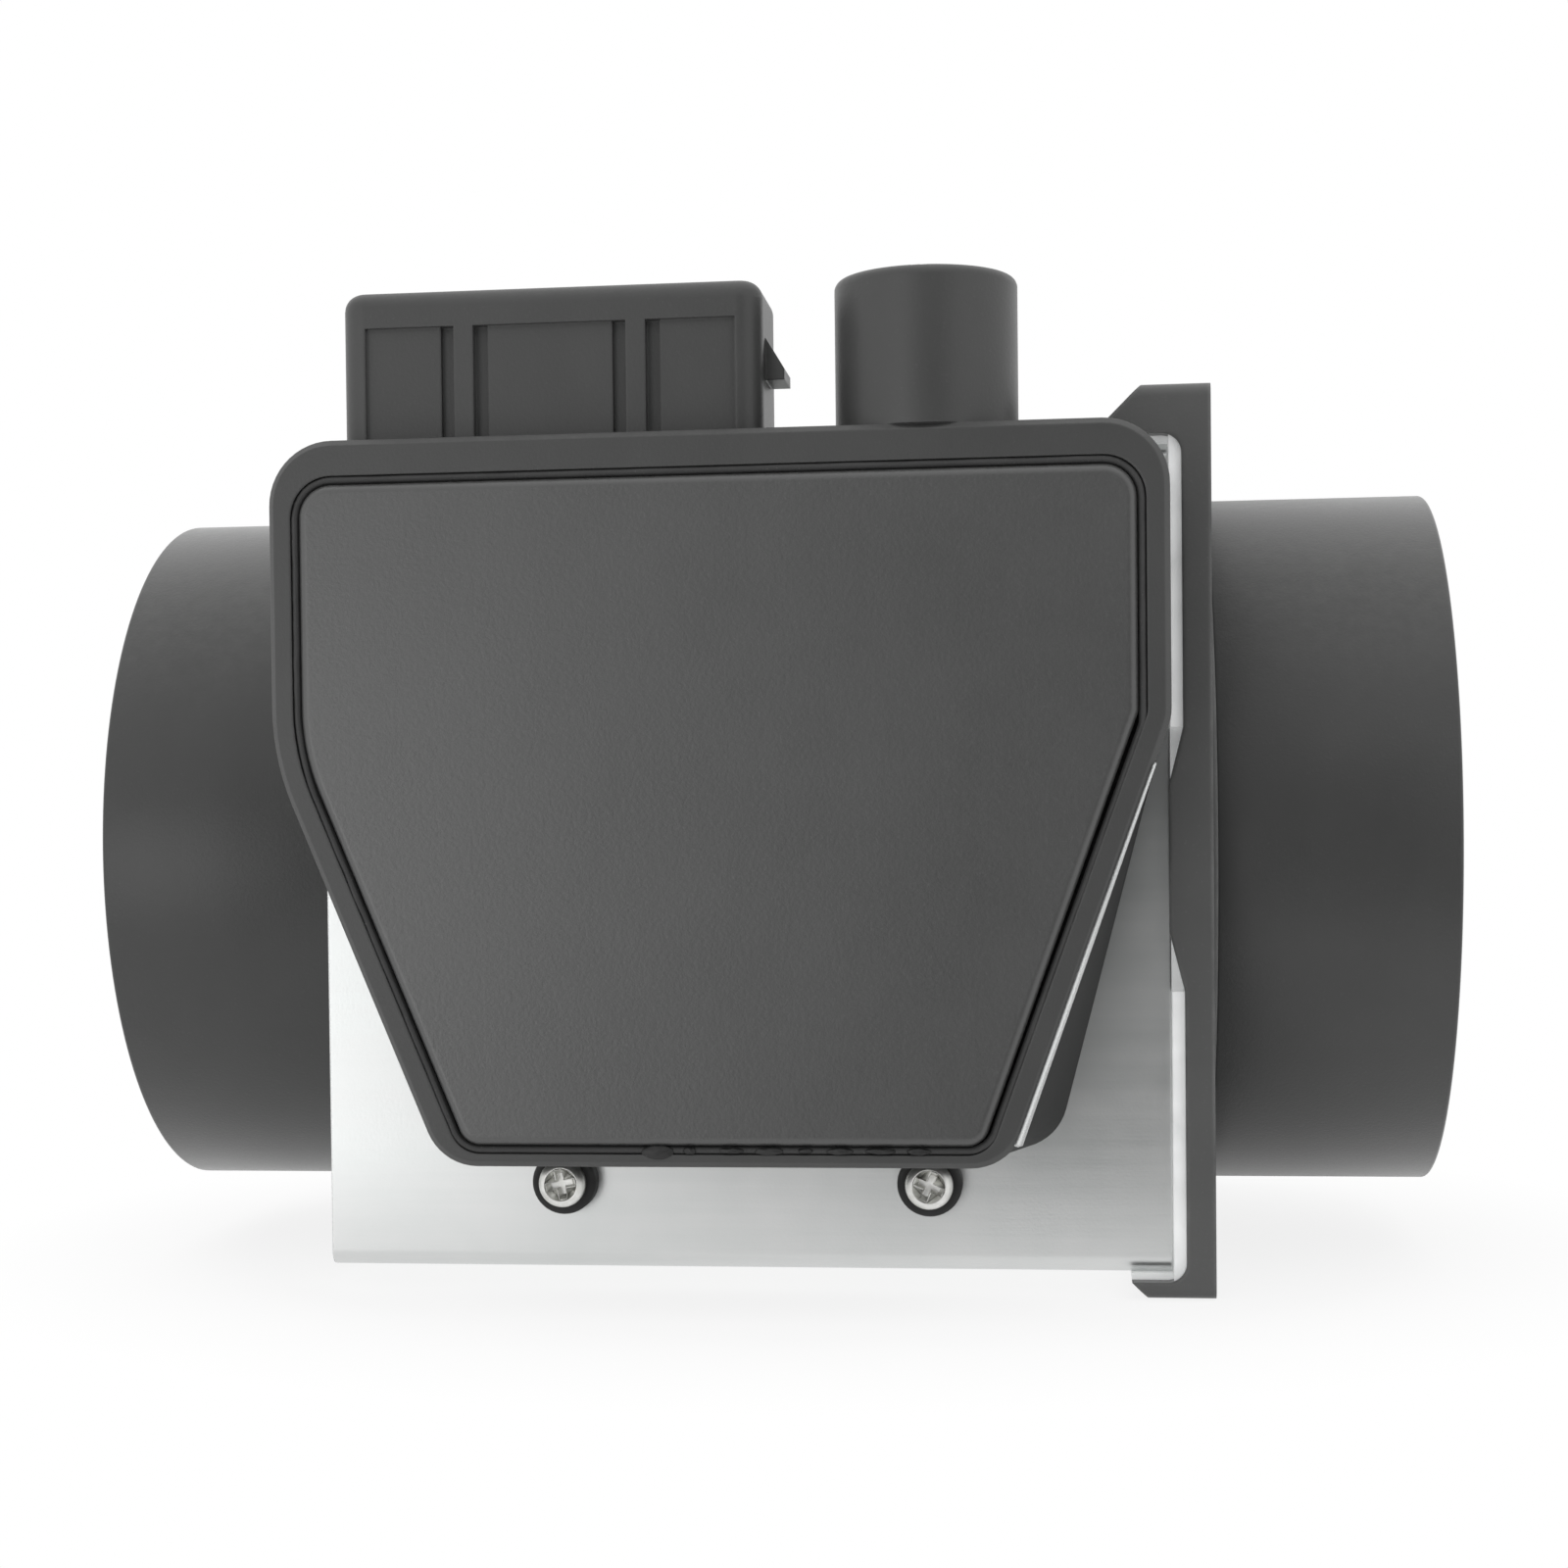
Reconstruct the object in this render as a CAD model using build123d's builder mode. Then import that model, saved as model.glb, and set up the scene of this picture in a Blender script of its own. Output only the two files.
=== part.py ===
from build123d import *

import os
from math import hypot, sqrt

os.makedirs("parts", exist_ok=True)

# Hot-wire mass airflow sensor, in millimetres.
# The duct lies along X with its inlet mouth at the origin, and the air flows towards -X.
# The electronics box is on the near side, -Y, and its connector points up, +Z.

# Duct and hose necks
hose_radius = 40.0
spigot_wall = 3.0
inlet_spigot_length = 26.0
outlet_spigot_length = 27.0
mouth_rounding = 1.0
tail_wall = 1.6
tail_length = 9.0
collar_step = 0.5
collar_length = 0.8

# Clearances
fit_gap = 0.1
fine_gap = 0.05

# Metering body, with its walls measured outwards from the hose radius
body_length = 89.7
body_side_wall = 5.0
body_top_wall = 1.3
body_bottom_wall = 4.7
body_edge_radius = 1.6

# Inlet flange and the seal behind it
flange_overhang = 2.1
flange_thickness = 3.0
flange_corner = 1.2
top_lip_height = 5.1
top_lip_length = 9.1
bottom_lip_height = 1.7
bottom_lip_length = 5.6
seal_thickness = 1.3
seal_fold = 0.7
seal_fold_length = 4.3
seal_corner = 2.0
seal_proud = 1.5
pad_foot_height = 27.0
pad_top_height = 15.0
pad_overlap = 0.2

# Flange screws, set in from the faces of the body
flange_screw_side = 6.5
flange_screw_end = 7.0
flange_screw_radius = 2.0
flange_screw_head = 3.7
flange_screw_length = 14.0
flange_slot_width = 0.9
flange_slot_depth = 1.0

# Screens in the two mouths
screen_gap = 0.2
ledge_step = 1.4
ledge_length = 2.0
inlet_ledge_depth = 22.0
outlet_ledge_depth = 20.0
snap_wire = 0.8
straightener_length = 8.0
straightener_rim = 1.6
cell_pitch = 7.4
cell_web = 0.9
guard_length = 2.6
guard_rim = 2.4
guard_step = 1.0
guard_pitch = 6.4
guard_wire = 0.45
guard_wire_count = 10

# Measuring tube and its sensing parts
tube_setback = 44.7
tube_length = 32.0
tube_bore = 11.6
tube_wall = 3.2
tube_tip_wall = 1.6
tube_root = 0.8
neck_width = 26.0
neck_thickness = 8.0
stay_width = 18.0
stay_thickness = 4.0
neck_seal_border = 3.0
neck_seal_thickness = 1.6
post_ahead = 3.0
post_y = 5.0
post_radius = 0.55
post_seat = 1.2
post_height = 3.0
wire_radius = 0.15
plate_ahead = 9.0
plate_length = 5.0
plate_height = 9.0
plate_thickness = 0.7
leg_radius = 0.3
leg_spacing = 3.0
resistor_behind = 7.0
resistor_radius = 1.3
rod_seat = 0.8

# Electronics box: an outline in X and Z, placed from the body's ends and built forward from its face
box_left_overhang = 0.6
box_right_setback = 0.4
box_rise = 0.2
box_foot_rise = 13.0
left_shoulder_drop = 32.0
right_shoulder_drop = 29.1
box_left_slant = 16.9
box_right_slant = 16.0
box_foot_spread = 4.4
box_corner = 6.5
left_shoulder_radius = 26.0
right_shoulder_radius = 5.0
foot_corner = 5.5
inner_corner = 1.2
box_depth = 18.0
box_rake_depth = 12.5
box_floor = 2.5
rim_side = 2.3
rim_top = 3.6
rim_bottom = 1.3
rim_chamfer = 0.6
lid_groove = 0.9
lid_ledge = 2.4

# Lid and the sealing compound under its edge
lid_thickness = 3.0
lid_proud = 0.5
lid_edge = 0.9
lid_rib_width = 1.5
lid_rib_height = 1.2
lid_rib_length = 40.0
lid_rib_pitch = 18.0
lid_rib_count = 3
bead_inset = 0.3
bead_width = 1.0
bead_height = 0.7

# Tray screws
tray_screw_radius = 1.6
tray_screw_hole = 1.8
tray_screw_length = 9.0
tray_screw_head = 2.5
tray_screw_head_height = 1.8
tray_screw_rounding = 0.8
tray_recess_depth = 1.2
tray_recess_width = 0.8
tray_recess_length = 3.2
lower_screw_left_inset = 9.6
lower_screw_right_inset = 8.7
lower_screw_drop = 3.6
lug_radius = 3.4
lug_bridge = 4.6
lug_thickness = 2.5
lug_edge = 0.6
upper_screw_left_inset = 8.6
upper_screw_right_inset = 8.3
upper_screw_drop = 12.5

# Connector shroud
shroud_inset = 6.85
shroud_width = 43.0
shroud_depth = 14.2
shroud_gap = 0.4
shroud_height = 15.4
shroud_corner = 2.4
shroud_wall = 2.2
shroud_edge = 1.8
socket_rise = 3.0
band_height = 3.8
panel_depth = 0.5
panel_margin = 2.6
rib_width = 2.0
rib_groove = 1.4
rib_groove_depth = 1.2
left_rib_offset = 8.75
right_rib_offset = 8.85
key_width = 1.6
key_depth = 0.9
nose_reach = 1.9
nose_drop = 5.3
nose_slant = 3.2
nose_lip = 1.1
nose_width = 6.0
nub_reach = 0.5
nub_height = 2.0
pin_count = 6
pin_pitch = 5.0
pin_width = 2.0
pin_thickness = 0.8
pin_length = 7.0
pin_landing = 1.8
pin_foot_height = 0.8
gasket_thickness = 0.9

# Round well beside the connector
well_inset = 23.9
well_stand = 8.9
well_radius = 9.2
well_height = 15.5
well_bore = 6.8
well_floor_rise = 6.0
well_hole = 2.4
well_edge = 1.0
plug_thickness = 4.5
plug_dish = 1.5
plug_dish_wall = 1.6
plug_edge = 0.5

# Circuit, with its parts placed by their share of the plate's length
sink_left_inset = 12.2
sink_right_inset = 12.1
sink_drop = 11.7
sink_height = 23.3
sink_thickness = 1.8
board_border = 1.2
board_thickness = 0.8
transistor_share = 0.11
transistor_rise = 7.5
transistor_size = 9.0
transistor_tab = 4.0
transistor_tab_thickness = 1.0
transistor_height = 3.0
chip_share = 0.36
chip_rise = 10.5
chip_width = 12.0
chip_depth = 8.0
chip_height = 1.8
capacitor_share = 0.58
capacitor_rise = 14.0
capacitor_radius = 2.6
capacitor_height = 4.2
capacitor_pitch = 6.6
capacitor_count = 2
trimmer_size = 6.0
trimmer_height = 4.4
trimmer_drop = 5.8
trimmer_slot = 0.8
lead_count = 4
lead_pitch = 5.0
lead_width = 1.2
lead_thickness = 0.5
lead_seat = 3.0
lead_overlap = 2.4

# Places along the duct that follow from the sizes above
duct_radius = hose_radius - spigot_wall
tail_radius = duct_radius + tail_wall
seat_radius = tail_radius + fit_gap
ring_wire = (seat_radius - duct_radius) / 2 - fine_gap
seat_depth = tail_length + 2 * (ring_wire + fine_gap)
flange_face_x = -inlet_spigot_length
flange_back_x = flange_face_x - flange_thickness
body_inlet_x = flange_back_x - seal_thickness
body_outlet_x = body_inlet_x - body_length
outlet_mouth_x = body_outlet_x - outlet_spigot_length
tube_centre_x = body_inlet_x - tube_setback
post_x = tube_centre_x + post_ahead
plate_x = tube_centre_x + plate_ahead
resistor_x = tube_centre_x - resistor_behind

# Faces of the body and of the flange that clips over it
body_half_depth = hose_radius + body_side_wall
body_top = hose_radius + body_top_wall
body_bottom = -(hose_radius + body_bottom_wall)
body_height = body_top - body_bottom
body_mid_z = (body_top + body_bottom) / 2
lip_seat_top = body_top + seal_fold
lip_seat_bottom = body_bottom - seal_fold
flange_half_depth = body_half_depth + flange_overhang
flange_top = lip_seat_top + top_lip_height
flange_bottom = lip_seat_bottom - bottom_lip_height

# Outline of the electronics box, and what stands on its top
box_left = body_outlet_x - box_left_overhang
box_right = body_inlet_x - box_right_setback
box_top = body_top + box_rise
box_bottom = body_bottom + box_foot_rise
box_left_shoulder = box_top - left_shoulder_drop
box_right_shoulder = box_top - right_shoulder_drop
box_foot_left = box_left + box_left_slant
box_foot_right = box_right - box_right_slant
shroud_left = box_left + shroud_inset
shroud_right = shroud_left + shroud_width
shroud_centre_x = (shroud_left + shroud_right) / 2
shroud_back_y = -(body_half_depth + shroud_gap)
shroud_front_y = shroud_back_y - shroud_depth
shroud_top = box_top + shroud_height
socket_floor = box_top + socket_rise
left_rib_x = shroud_centre_x - left_rib_offset
right_rib_x = shroud_centre_x + right_rib_offset
nose_top = shroud_top - nose_drop
nose_low = nose_top - nose_slant
nose_foot = nose_low - nose_lip
pin_tip = socket_floor + pin_length
well_x = box_right - well_inset
well_y = -(body_half_depth + well_stand)
well_top = box_top + well_height
well_floor = box_top + well_floor_rise

# Levels across the electronics box, as distances in front of the duct's axis
floor_level = body_half_depth + box_floor
sink_level = floor_level + sink_thickness
board_level = sink_level + board_thickness
rim_level = body_half_depth + box_depth
lid_level = rim_level + lid_proud
lid_back_level = lid_level - lid_thickness
ledge_level = lid_back_level - bead_height
pin_y = (shroud_front_y + shroud_back_y) / 2

# Places on the circuit's plate
sink_left = box_left + sink_left_inset
sink_right = box_right - sink_right_inset
sink_width = sink_right - sink_left
sink_high = box_top - sink_drop
sink_low = sink_high - sink_height
transistor_x = sink_left + transistor_share * sink_width
transistor_z = sink_low + transistor_rise
chip_x = sink_left + chip_share * sink_width
chip_z = sink_low + chip_rise
capacitor_x = sink_left + capacitor_share * sink_width
capacitor_z = sink_low + capacitor_rise
trimmer_z = sink_high - trimmer_drop

# Fixing places: flange screws in Y and Z, tray screws in X and Z
flange_screw_y = body_half_depth - flange_screw_side
flange_screw_z = body_height / 2 - flange_screw_end
flange_screws_at = [(y * flange_screw_y, body_mid_z + z * flange_screw_z) for y in (-1, 1) for z in (-1, 1)]
lower_screw_z = box_bottom - lower_screw_drop
lower_screws_at = [
    (box_foot_left + lower_screw_left_inset, lower_screw_z),
    (box_foot_right - lower_screw_right_inset, lower_screw_z),
]
upper_screw_z = box_top - upper_screw_drop
upper_screws_at = [
    (box_left + upper_screw_left_inset, upper_screw_z),
    (box_right - upper_screw_right_inset, upper_screw_z),
]
pins_at = [shroud_centre_x + (index - (pin_count - 1) / 2) * pin_pitch for index in range(pin_count)]
leads_at = [tube_centre_x + (index - (lead_count - 1) / 2) * lead_pitch for index in range(lead_count)]


# Metering body: a square casting with a bored duct, a seat for a neck at each end and tapped holes
slot_width = neck_width + 2 * fit_gap
slot_height = neck_thickness + 2 * fit_gap
with BuildPart() as metering_body:
    with BuildSketch(Plane.YZ.offset(body_outlet_x)):
        with Locations((0, body_mid_z)):
            RectangleRounded(2 * body_half_depth, body_height, body_edge_radius)
    extrude(amount=body_length)
    with BuildSketch(Plane.YZ.offset(body_outlet_x)):
        Circle(duct_radius)
    extrude(amount=body_length, mode=Mode.SUBTRACT)
    with BuildSketch(Plane.YZ.offset(body_outlet_x), Plane.YZ.offset(body_inlet_x - seat_depth)):
        Circle(seat_radius)
    extrude(amount=seat_depth, mode=Mode.SUBTRACT)
    with BuildSketch(Plane.XZ.offset(tube_bore)):
        with Locations((tube_centre_x, 0)):
            SlotOverall(slot_width, slot_height)
    extrude(amount=body_half_depth, mode=Mode.SUBTRACT)
    with BuildSketch(Plane.XZ.offset(body_half_depth - neck_seal_thickness)):
        with Locations((tube_centre_x, 0)):
            SlotOverall(slot_width + 2 * neck_seal_border, slot_height + 2 * neck_seal_border)
    extrude(amount=neck_seal_thickness, mode=Mode.SUBTRACT)
    with BuildSketch(Plane.XZ.offset(body_half_depth - tray_screw_length)):
        with Locations(*lower_screws_at, *upper_screws_at):
            Circle(tray_screw_radius + fine_gap)
    extrude(amount=tray_screw_length, mode=Mode.SUBTRACT)
    with BuildSketch(Plane.YZ.offset(body_inlet_x - flange_screw_length)):
        with Locations(*flange_screws_at):
            Circle(flange_screw_radius + fine_gap)
    extrude(amount=flange_screw_length, mode=Mode.SUBTRACT)
metering_body.part.label = "metering_body"
export_step(metering_body.part, "parts/metering_body.step")


def neck_section(mouth_x, inward, shoulder, tail_end, ledge, screen_length):
    """Half section of a hose neck, drawn from its mouth inwards to the end of its tail."""
    ring_end = ledge - screen_length
    ring_start = ring_end - 2 * (snap_wire + fine_gap)
    groove_radius = duct_radius + snap_wire + fine_gap
    steps = [
        (0, duct_radius),
        (0, hose_radius),
        (shoulder, hose_radius),
        (shoulder, tail_radius),
        (tail_end, tail_radius),
        (tail_end, duct_radius),
        (ledge + ledge_length, duct_radius),
        (ledge + ledge_length, duct_radius - ledge_step),
        (ledge, duct_radius - ledge_step),
        (ledge, duct_radius),
        (ring_end, duct_radius),
        (ring_end, groove_radius),
        (ring_start, groove_radius),
        (ring_start, duct_radius),
    ]
    with BuildSketch(Plane.XZ) as section:
        with BuildLine():
            Polyline(*[(mouth_x + inward * depth, radius) for depth, radius in steps], close=True)
        make_face()
        mouth_edge = section.vertices().sort_by_distance((mouth_x, duct_radius))[0]
        fillet(mouth_edge, mouth_rounding)
    return section.sketch


# Outlet spigot: a turned neck whose tail is pressed into the body
outlet_tail_end = outlet_spigot_length + tail_length
outlet_section = neck_section(
    outlet_mouth_x, 1, outlet_spigot_length, outlet_tail_end, outlet_ledge_depth, guard_length
)
with BuildPart() as outlet_spigot:
    revolve(outlet_section, axis=Axis.X)
outlet_spigot.part.label = "outlet_spigot"
export_step(outlet_spigot.part, "parts/outlet_spigot.step")

# Inlet spigot: the same neck, seated on the flange's collar, its tail going on into the body
inlet_tail_end = inlet_spigot_length + flange_thickness + seal_thickness + tail_length
inlet_section = neck_section(
    0, -1, inlet_spigot_length - collar_length, inlet_tail_end, inlet_ledge_depth, straightener_length
)
with BuildPart() as inlet_spigot:
    revolve(inlet_section, axis=Axis.X)
inlet_spigot.part.label = "inlet_spigot"
export_step(inlet_spigot.part, "parts/inlet_spigot.step")

# Inlet flange: a square plate with clip lips above and below, a pad on each side and a low collar
lip_top_x = flange_back_x - top_lip_length
lip_bottom_x = flange_back_x - bottom_lip_length
pad_x = flange_back_x - seal_thickness - pad_overlap
with BuildPart() as inlet_flange:
    with BuildSketch(Plane.XZ) as flange_profile:
        with BuildLine():
            Polyline(
                (flange_face_x, flange_bottom),
                (flange_face_x, flange_top),
                (lip_top_x + top_lip_height, flange_top),
                (lip_top_x, lip_seat_top),
                (flange_back_x, lip_seat_top),
                (flange_back_x, lip_seat_bottom),
                (lip_bottom_x, lip_seat_bottom),
                (lip_bottom_x + bottom_lip_height, flange_bottom),
                close=True,
            )
        make_face()
        back_corners = flange_profile.vertices().filter_by_position(Axis.X, flange_back_x, flange_back_x)
        fillet(back_corners, seal_corner)
    extrude(amount=flange_half_depth, both=True)
    plate_edges = inlet_flange.edges().filter_by(Axis.X)
    fillet(plate_edges.group_by(Axis.Z)[0] + plate_edges.group_by(Axis.Z)[-1], flange_corner)
    with BuildSketch(Plane.XZ.offset(body_half_depth + fit_gap), Plane.XZ.offset(-flange_half_depth)):
        with BuildLine():
            Polyline(
                (flange_back_x, body_mid_z - pad_foot_height / 2),
                (pad_x, body_mid_z - pad_top_height / 2),
                (pad_x, body_mid_z + pad_top_height / 2),
                (flange_back_x, body_mid_z + pad_foot_height / 2),
                close=True,
            )
        make_face()
    extrude(amount=flange_overhang - fit_gap)
    with BuildSketch(Plane.YZ.offset(flange_face_x)):
        Circle(hose_radius + collar_step)
    extrude(amount=collar_length)
    with BuildSketch(Plane.YZ.offset(flange_back_x)):
        Circle(seat_radius)
    extrude(amount=flange_thickness + collar_length, mode=Mode.SUBTRACT)
    with Locations(Plane.YZ.offset(flange_face_x)):
        with Locations(*flange_screws_at):
            CounterSinkHole(
                radius=flange_screw_radius + fit_gap,
                counter_sink_radius=flange_screw_head + fit_gap,
                counter_sink_angle=90,
                depth=flange_thickness,
            )
inlet_flange.part.label = "inlet_flange"
export_step(inlet_flange.part, "parts/inlet_flange.step")

# Flange seal: a plate between body and flange, folded over the body's top and bottom, with its
# side edges standing proud of the body above and below the pads
fold_x = body_inlet_x - seal_fold_length
with BuildPart() as flange_seal:
    with BuildSketch(Plane.XZ) as seal_profile:
        with BuildLine():
            Polyline(
                (flange_back_x, lip_seat_bottom),
                (flange_back_x, lip_seat_top),
                (fold_x, lip_seat_top),
                (fold_x, body_top),
                (body_inlet_x, body_top),
                (body_inlet_x, body_bottom),
                (fold_x, body_bottom),
                (fold_x, lip_seat_bottom),
                close=True,
            )
        make_face()
        fillet(seal_profile.vertices().group_by(Axis.X)[-1], seal_corner)
    extrude(amount=body_half_depth, both=True)
    with BuildSketch(Plane.XZ.offset(body_half_depth), Plane.XZ.offset(-body_half_depth - seal_proud)):
        add(seal_profile.sketch_local)
        with Locations((body_inlet_x + seal_thickness / 2, body_mid_z)):
            Rectangle(seal_thickness, body_height + 2 * seal_fold, mode=Mode.INTERSECT)
            Rectangle(seal_thickness, pad_foot_height + 2 * fit_gap, mode=Mode.SUBTRACT)
    extrude(amount=seal_proud)
    with BuildSketch(Plane.YZ.offset(body_inlet_x)):
        Circle(seat_radius)
        with Locations(*flange_screws_at):
            Circle(flange_screw_radius + fit_gap)
    extrude(amount=seal_thickness, mode=Mode.SUBTRACT)
flange_seal.part.label = "flange_seal"
export_step(flange_seal.part, "parts/flange_seal.step")

# Flange screws: countersunk, with a slot across the head
head_height = flange_screw_head - flange_screw_radius
hung_down = (Align.CENTER, Align.CENTER, Align.MAX)
with BuildPart() as flange_screws:
    with Locations(Plane.YZ.offset(flange_face_x)):
        with Locations(*flange_screws_at):
            Cone(flange_screw_radius, flange_screw_head, head_height, align=hung_down)
            Cylinder(flange_screw_radius, flange_screw_length, align=hung_down)
            Box(
                2 * flange_screw_head,
                flange_slot_width,
                flange_slot_depth,
                align=hung_down,
                mode=Mode.SUBTRACT,
            )
flange_screws.part.label = "flange_screws"
export_step(flange_screws.part, "parts/flange_screws.step")


def round_wire(centre_x, centre_radius, wire_size):
    """Ring of round section about the duct's axis."""
    with BuildPart() as ring:
        with BuildSketch(Plane.XZ):
            with Locations((centre_x, centre_radius)):
                Circle(wire_size)
        revolve(axis=Axis.X)
    return ring.part


# Seal rings: one at the foot of each tail
ring_offset = (tail_length + seat_depth) / 2
ring_radius = (duct_radius + seat_radius) / 2
inlet_seal_ring = round_wire(body_inlet_x - ring_offset, ring_radius, ring_wire)
inlet_seal_ring.label = "inlet_seal_ring"
export_step(inlet_seal_ring, "parts/inlet_seal_ring.step")
outlet_seal_ring = round_wire(body_outlet_x + ring_offset, ring_radius, ring_wire)
outlet_seal_ring.label = "outlet_seal_ring"
export_step(outlet_seal_ring, "parts/outlet_seal_ring.step")

# Snap rings: round wire in the groove in front of each screen
snap_offset = snap_wire + fine_gap
inlet_snap_x = straightener_length - inlet_ledge_depth + snap_offset
outlet_snap_x = outlet_mouth_x + outlet_ledge_depth - guard_length - snap_offset
inlet_snap_ring = round_wire(inlet_snap_x, duct_radius, snap_wire)
inlet_snap_ring.label = "inlet_snap_ring"
export_step(inlet_snap_ring, "parts/inlet_snap_ring.step")
outlet_snap_ring = round_wire(outlet_snap_x, duct_radius, snap_wire)
outlet_snap_ring.label = "outlet_snap_ring"
export_step(outlet_snap_ring, "parts/outlet_snap_ring.step")

# Flow straightener: a honeycomb of six-sided cells in a round rim
row_pitch = cell_pitch * sqrt(3) / 2
row_reach = int(duct_radius / row_pitch)
cell_limit = duct_radius - straightener_rim - cell_pitch / 6
cells_at = [
    ((column + row % 2 / 2) * cell_pitch, row * row_pitch)
    for row in range(-row_reach, row_reach + 1)
    for column in range(-row_reach, row_reach + 1)
    if hypot((column + row % 2 / 2) * cell_pitch, row * row_pitch) < cell_limit
]
with BuildPart() as flow_straightener:
    with BuildSketch(Plane.YZ.offset(-inlet_ledge_depth)):
        Circle(duct_radius - screen_gap)
    extrude(amount=straightener_length)
    with BuildSketch(Plane.YZ.offset(-inlet_ledge_depth)):
        with Locations(*cells_at):
            RegularPolygon(radius=(cell_pitch - cell_web) / sqrt(3), side_count=6, rotation=30)
        Circle(duct_radius - screen_gap - straightener_rim, mode=Mode.INTERSECT)
    extrude(amount=straightener_length, mode=Mode.SUBTRACT)
flow_straightener.part.label = "flow_straightener"
export_step(flow_straightener.part, "parts/flow_straightener.step")

# Guard ring: a stepped ring in the outlet neck that holds the wires of the guard
guard_x = outlet_mouth_x + outlet_ledge_depth
with BuildPart() as guard_ring:
    with BuildSketch(Plane.YZ.offset(guard_x)):
        Circle(duct_radius - screen_gap)
        Circle(duct_radius - screen_gap - guard_rim, mode=Mode.SUBTRACT)
    extrude(amount=-guard_length)
    with BuildSketch(Plane.YZ.offset(guard_x - guard_length)):
        Circle(duct_radius - screen_gap - guard_step)
    extrude(amount=4 * guard_wire, mode=Mode.SUBTRACT)
guard_ring.part.label = "guard_ring"
export_step(guard_ring.part, "parts/guard_ring.step")

# Guard wires: upright wires on the ring's step, and level wires welded across them
wire_layers = [(guard_x - guard_length + 3 * guard_wire, 0), (guard_x - guard_length + guard_wire, 90)]
wire_limit = duct_radius - screen_gap - guard_step - fit_gap
wires_at = [(index - (guard_wire_count - 1) / 2) * guard_pitch for index in range(guard_wire_count)]
with BuildPart() as guard_wires:
    for layer_x, layer_turn in wire_layers:
        for wire_offset in wires_at:
            wire_reach = sqrt(wire_limit**2 - (abs(wire_offset) + guard_wire) ** 2)
            with Locations(Location((layer_x, 0, 0), (layer_turn, 0, 0))):
                with Locations((0, wire_offset, 0)):
                    Cylinder(guard_wire, 2 * wire_reach)
guard_wires.part.label = "guard_wires"
export_step(guard_wires.part, "parts/guard_wires.step")

# Measuring tube: a bell-mouthed ring on a neck that goes out through the body, with a stay behind
tube_inlet_x = tube_centre_x + tube_length / 2
tube_outlet_x = tube_centre_x - tube_length / 2
neck_root = tube_bore + tube_root
post_end = tube_bore - post_height
with BuildPart() as measuring_tube:
    with BuildSketch(Plane.XZ) as tube_section:
        with BuildLine():
            Polyline(
                (tube_outlet_x, tube_bore),
                (tube_outlet_x, tube_bore + tube_tip_wall),
                (tube_inlet_x, tube_bore + tube_wall),
                (tube_inlet_x, tube_bore),
                close=True,
            )
        make_face()
        fillet(tube_section.vertices().group_by(Axis.X)[-1], tube_wall / 2 - fit_gap)
    revolve(axis=Axis.X)
    with BuildSketch(Plane.XZ.offset(neck_root)):
        with Locations((tube_centre_x, 0)):
            SlotOverall(neck_width, neck_thickness)
    extrude(amount=floor_level - neck_root)
    with BuildSketch(Plane.XZ.offset(screen_gap - duct_radius)):
        with Locations((tube_centre_x, 0)):
            SlotOverall(stay_width, stay_thickness)
    extrude(amount=duct_radius - screen_gap - neck_root)
    with BuildSketch(Plane.XY.offset(-tube_bore - post_seat)):
        with Locations((post_x, -post_y), (post_x, post_y)):
            Circle(post_radius + fine_gap)
        with Locations((resistor_x, 0)):
            Circle(resistor_radius + fine_gap)
    extrude(amount=2 * (tube_bore + post_seat), mode=Mode.SUBTRACT)
    with BuildSketch(Plane.XY):
        with Locations((plate_x - leg_spacing / 2, 0), (plate_x + leg_spacing / 2, 0)):
            Circle(leg_radius + fine_gap)
    extrude(amount=tube_bore + post_seat, mode=Mode.SUBTRACT)
    with BuildSketch(Plane.XZ.offset(floor_level - lead_seat)):
        with Locations(*[(x, 0) for x in leads_at]):
            Rectangle(lead_width, lead_thickness)
    extrude(amount=lead_seat, mode=Mode.SUBTRACT)
measuring_tube.part.label = "measuring_tube"
export_step(measuring_tube.part, "parts/measuring_tube.step")

# Wire posts: four stub posts in the wall of the tube
post_foot = tube_bore + post_seat
with BuildPart() as wire_posts:
    with BuildSketch(Plane.XY.offset(-post_foot), Plane.XY.offset(post_end)):
        with Locations((post_x, -post_y), (post_x, post_y)):
            Circle(post_radius)
    extrude(amount=post_foot - post_end)
wire_posts.part.label = "wire_posts"
export_step(wire_posts.part, "parts/wire_posts.step")

# Hot wire: strung from post to post across the tube, on the upstream side of the posts
wire_x = post_x + post_radius + wire_radius
wire_end = post_end + post_radius
with BuildPart() as hot_wire:
    with BuildLine() as wire_path:
        Polyline(
            (wire_x, -post_y, wire_end),
            (wire_x, -post_y, -wire_end),
            (wire_x, post_y, wire_end),
            (wire_x, post_y, -wire_end),
        )
    with BuildSketch(Plane(origin=wire_path.line @ 0, z_dir=wire_path.line % 0)):
        Circle(wire_radius)
    sweep(transition=Transition.RIGHT)
hot_wire.part.label = "hot_wire"
export_step(hot_wire.part, "parts/hot_wire.step")

# Air temperature sensor: a ceramic plate, edge on to the flow, on two legs from the tube's roof
with BuildPart() as air_temperature_sensor:
    with BuildSketch(Plane.XY.offset(-plate_height / 2)):
        with Locations((plate_x, 0)):
            Rectangle(plate_length, plate_thickness)
    extrude(amount=plate_height)
    with BuildSketch(Plane.XY.offset(plate_height / 2)):
        with Locations((plate_x - leg_spacing / 2, 0), (plate_x + leg_spacing / 2, 0)):
            Circle(leg_radius)
    extrude(amount=post_foot - plate_height / 2)
air_temperature_sensor.part.label = "air_temperature_sensor"
export_step(air_temperature_sensor.part, "parts/air_temperature_sensor.step")

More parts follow.
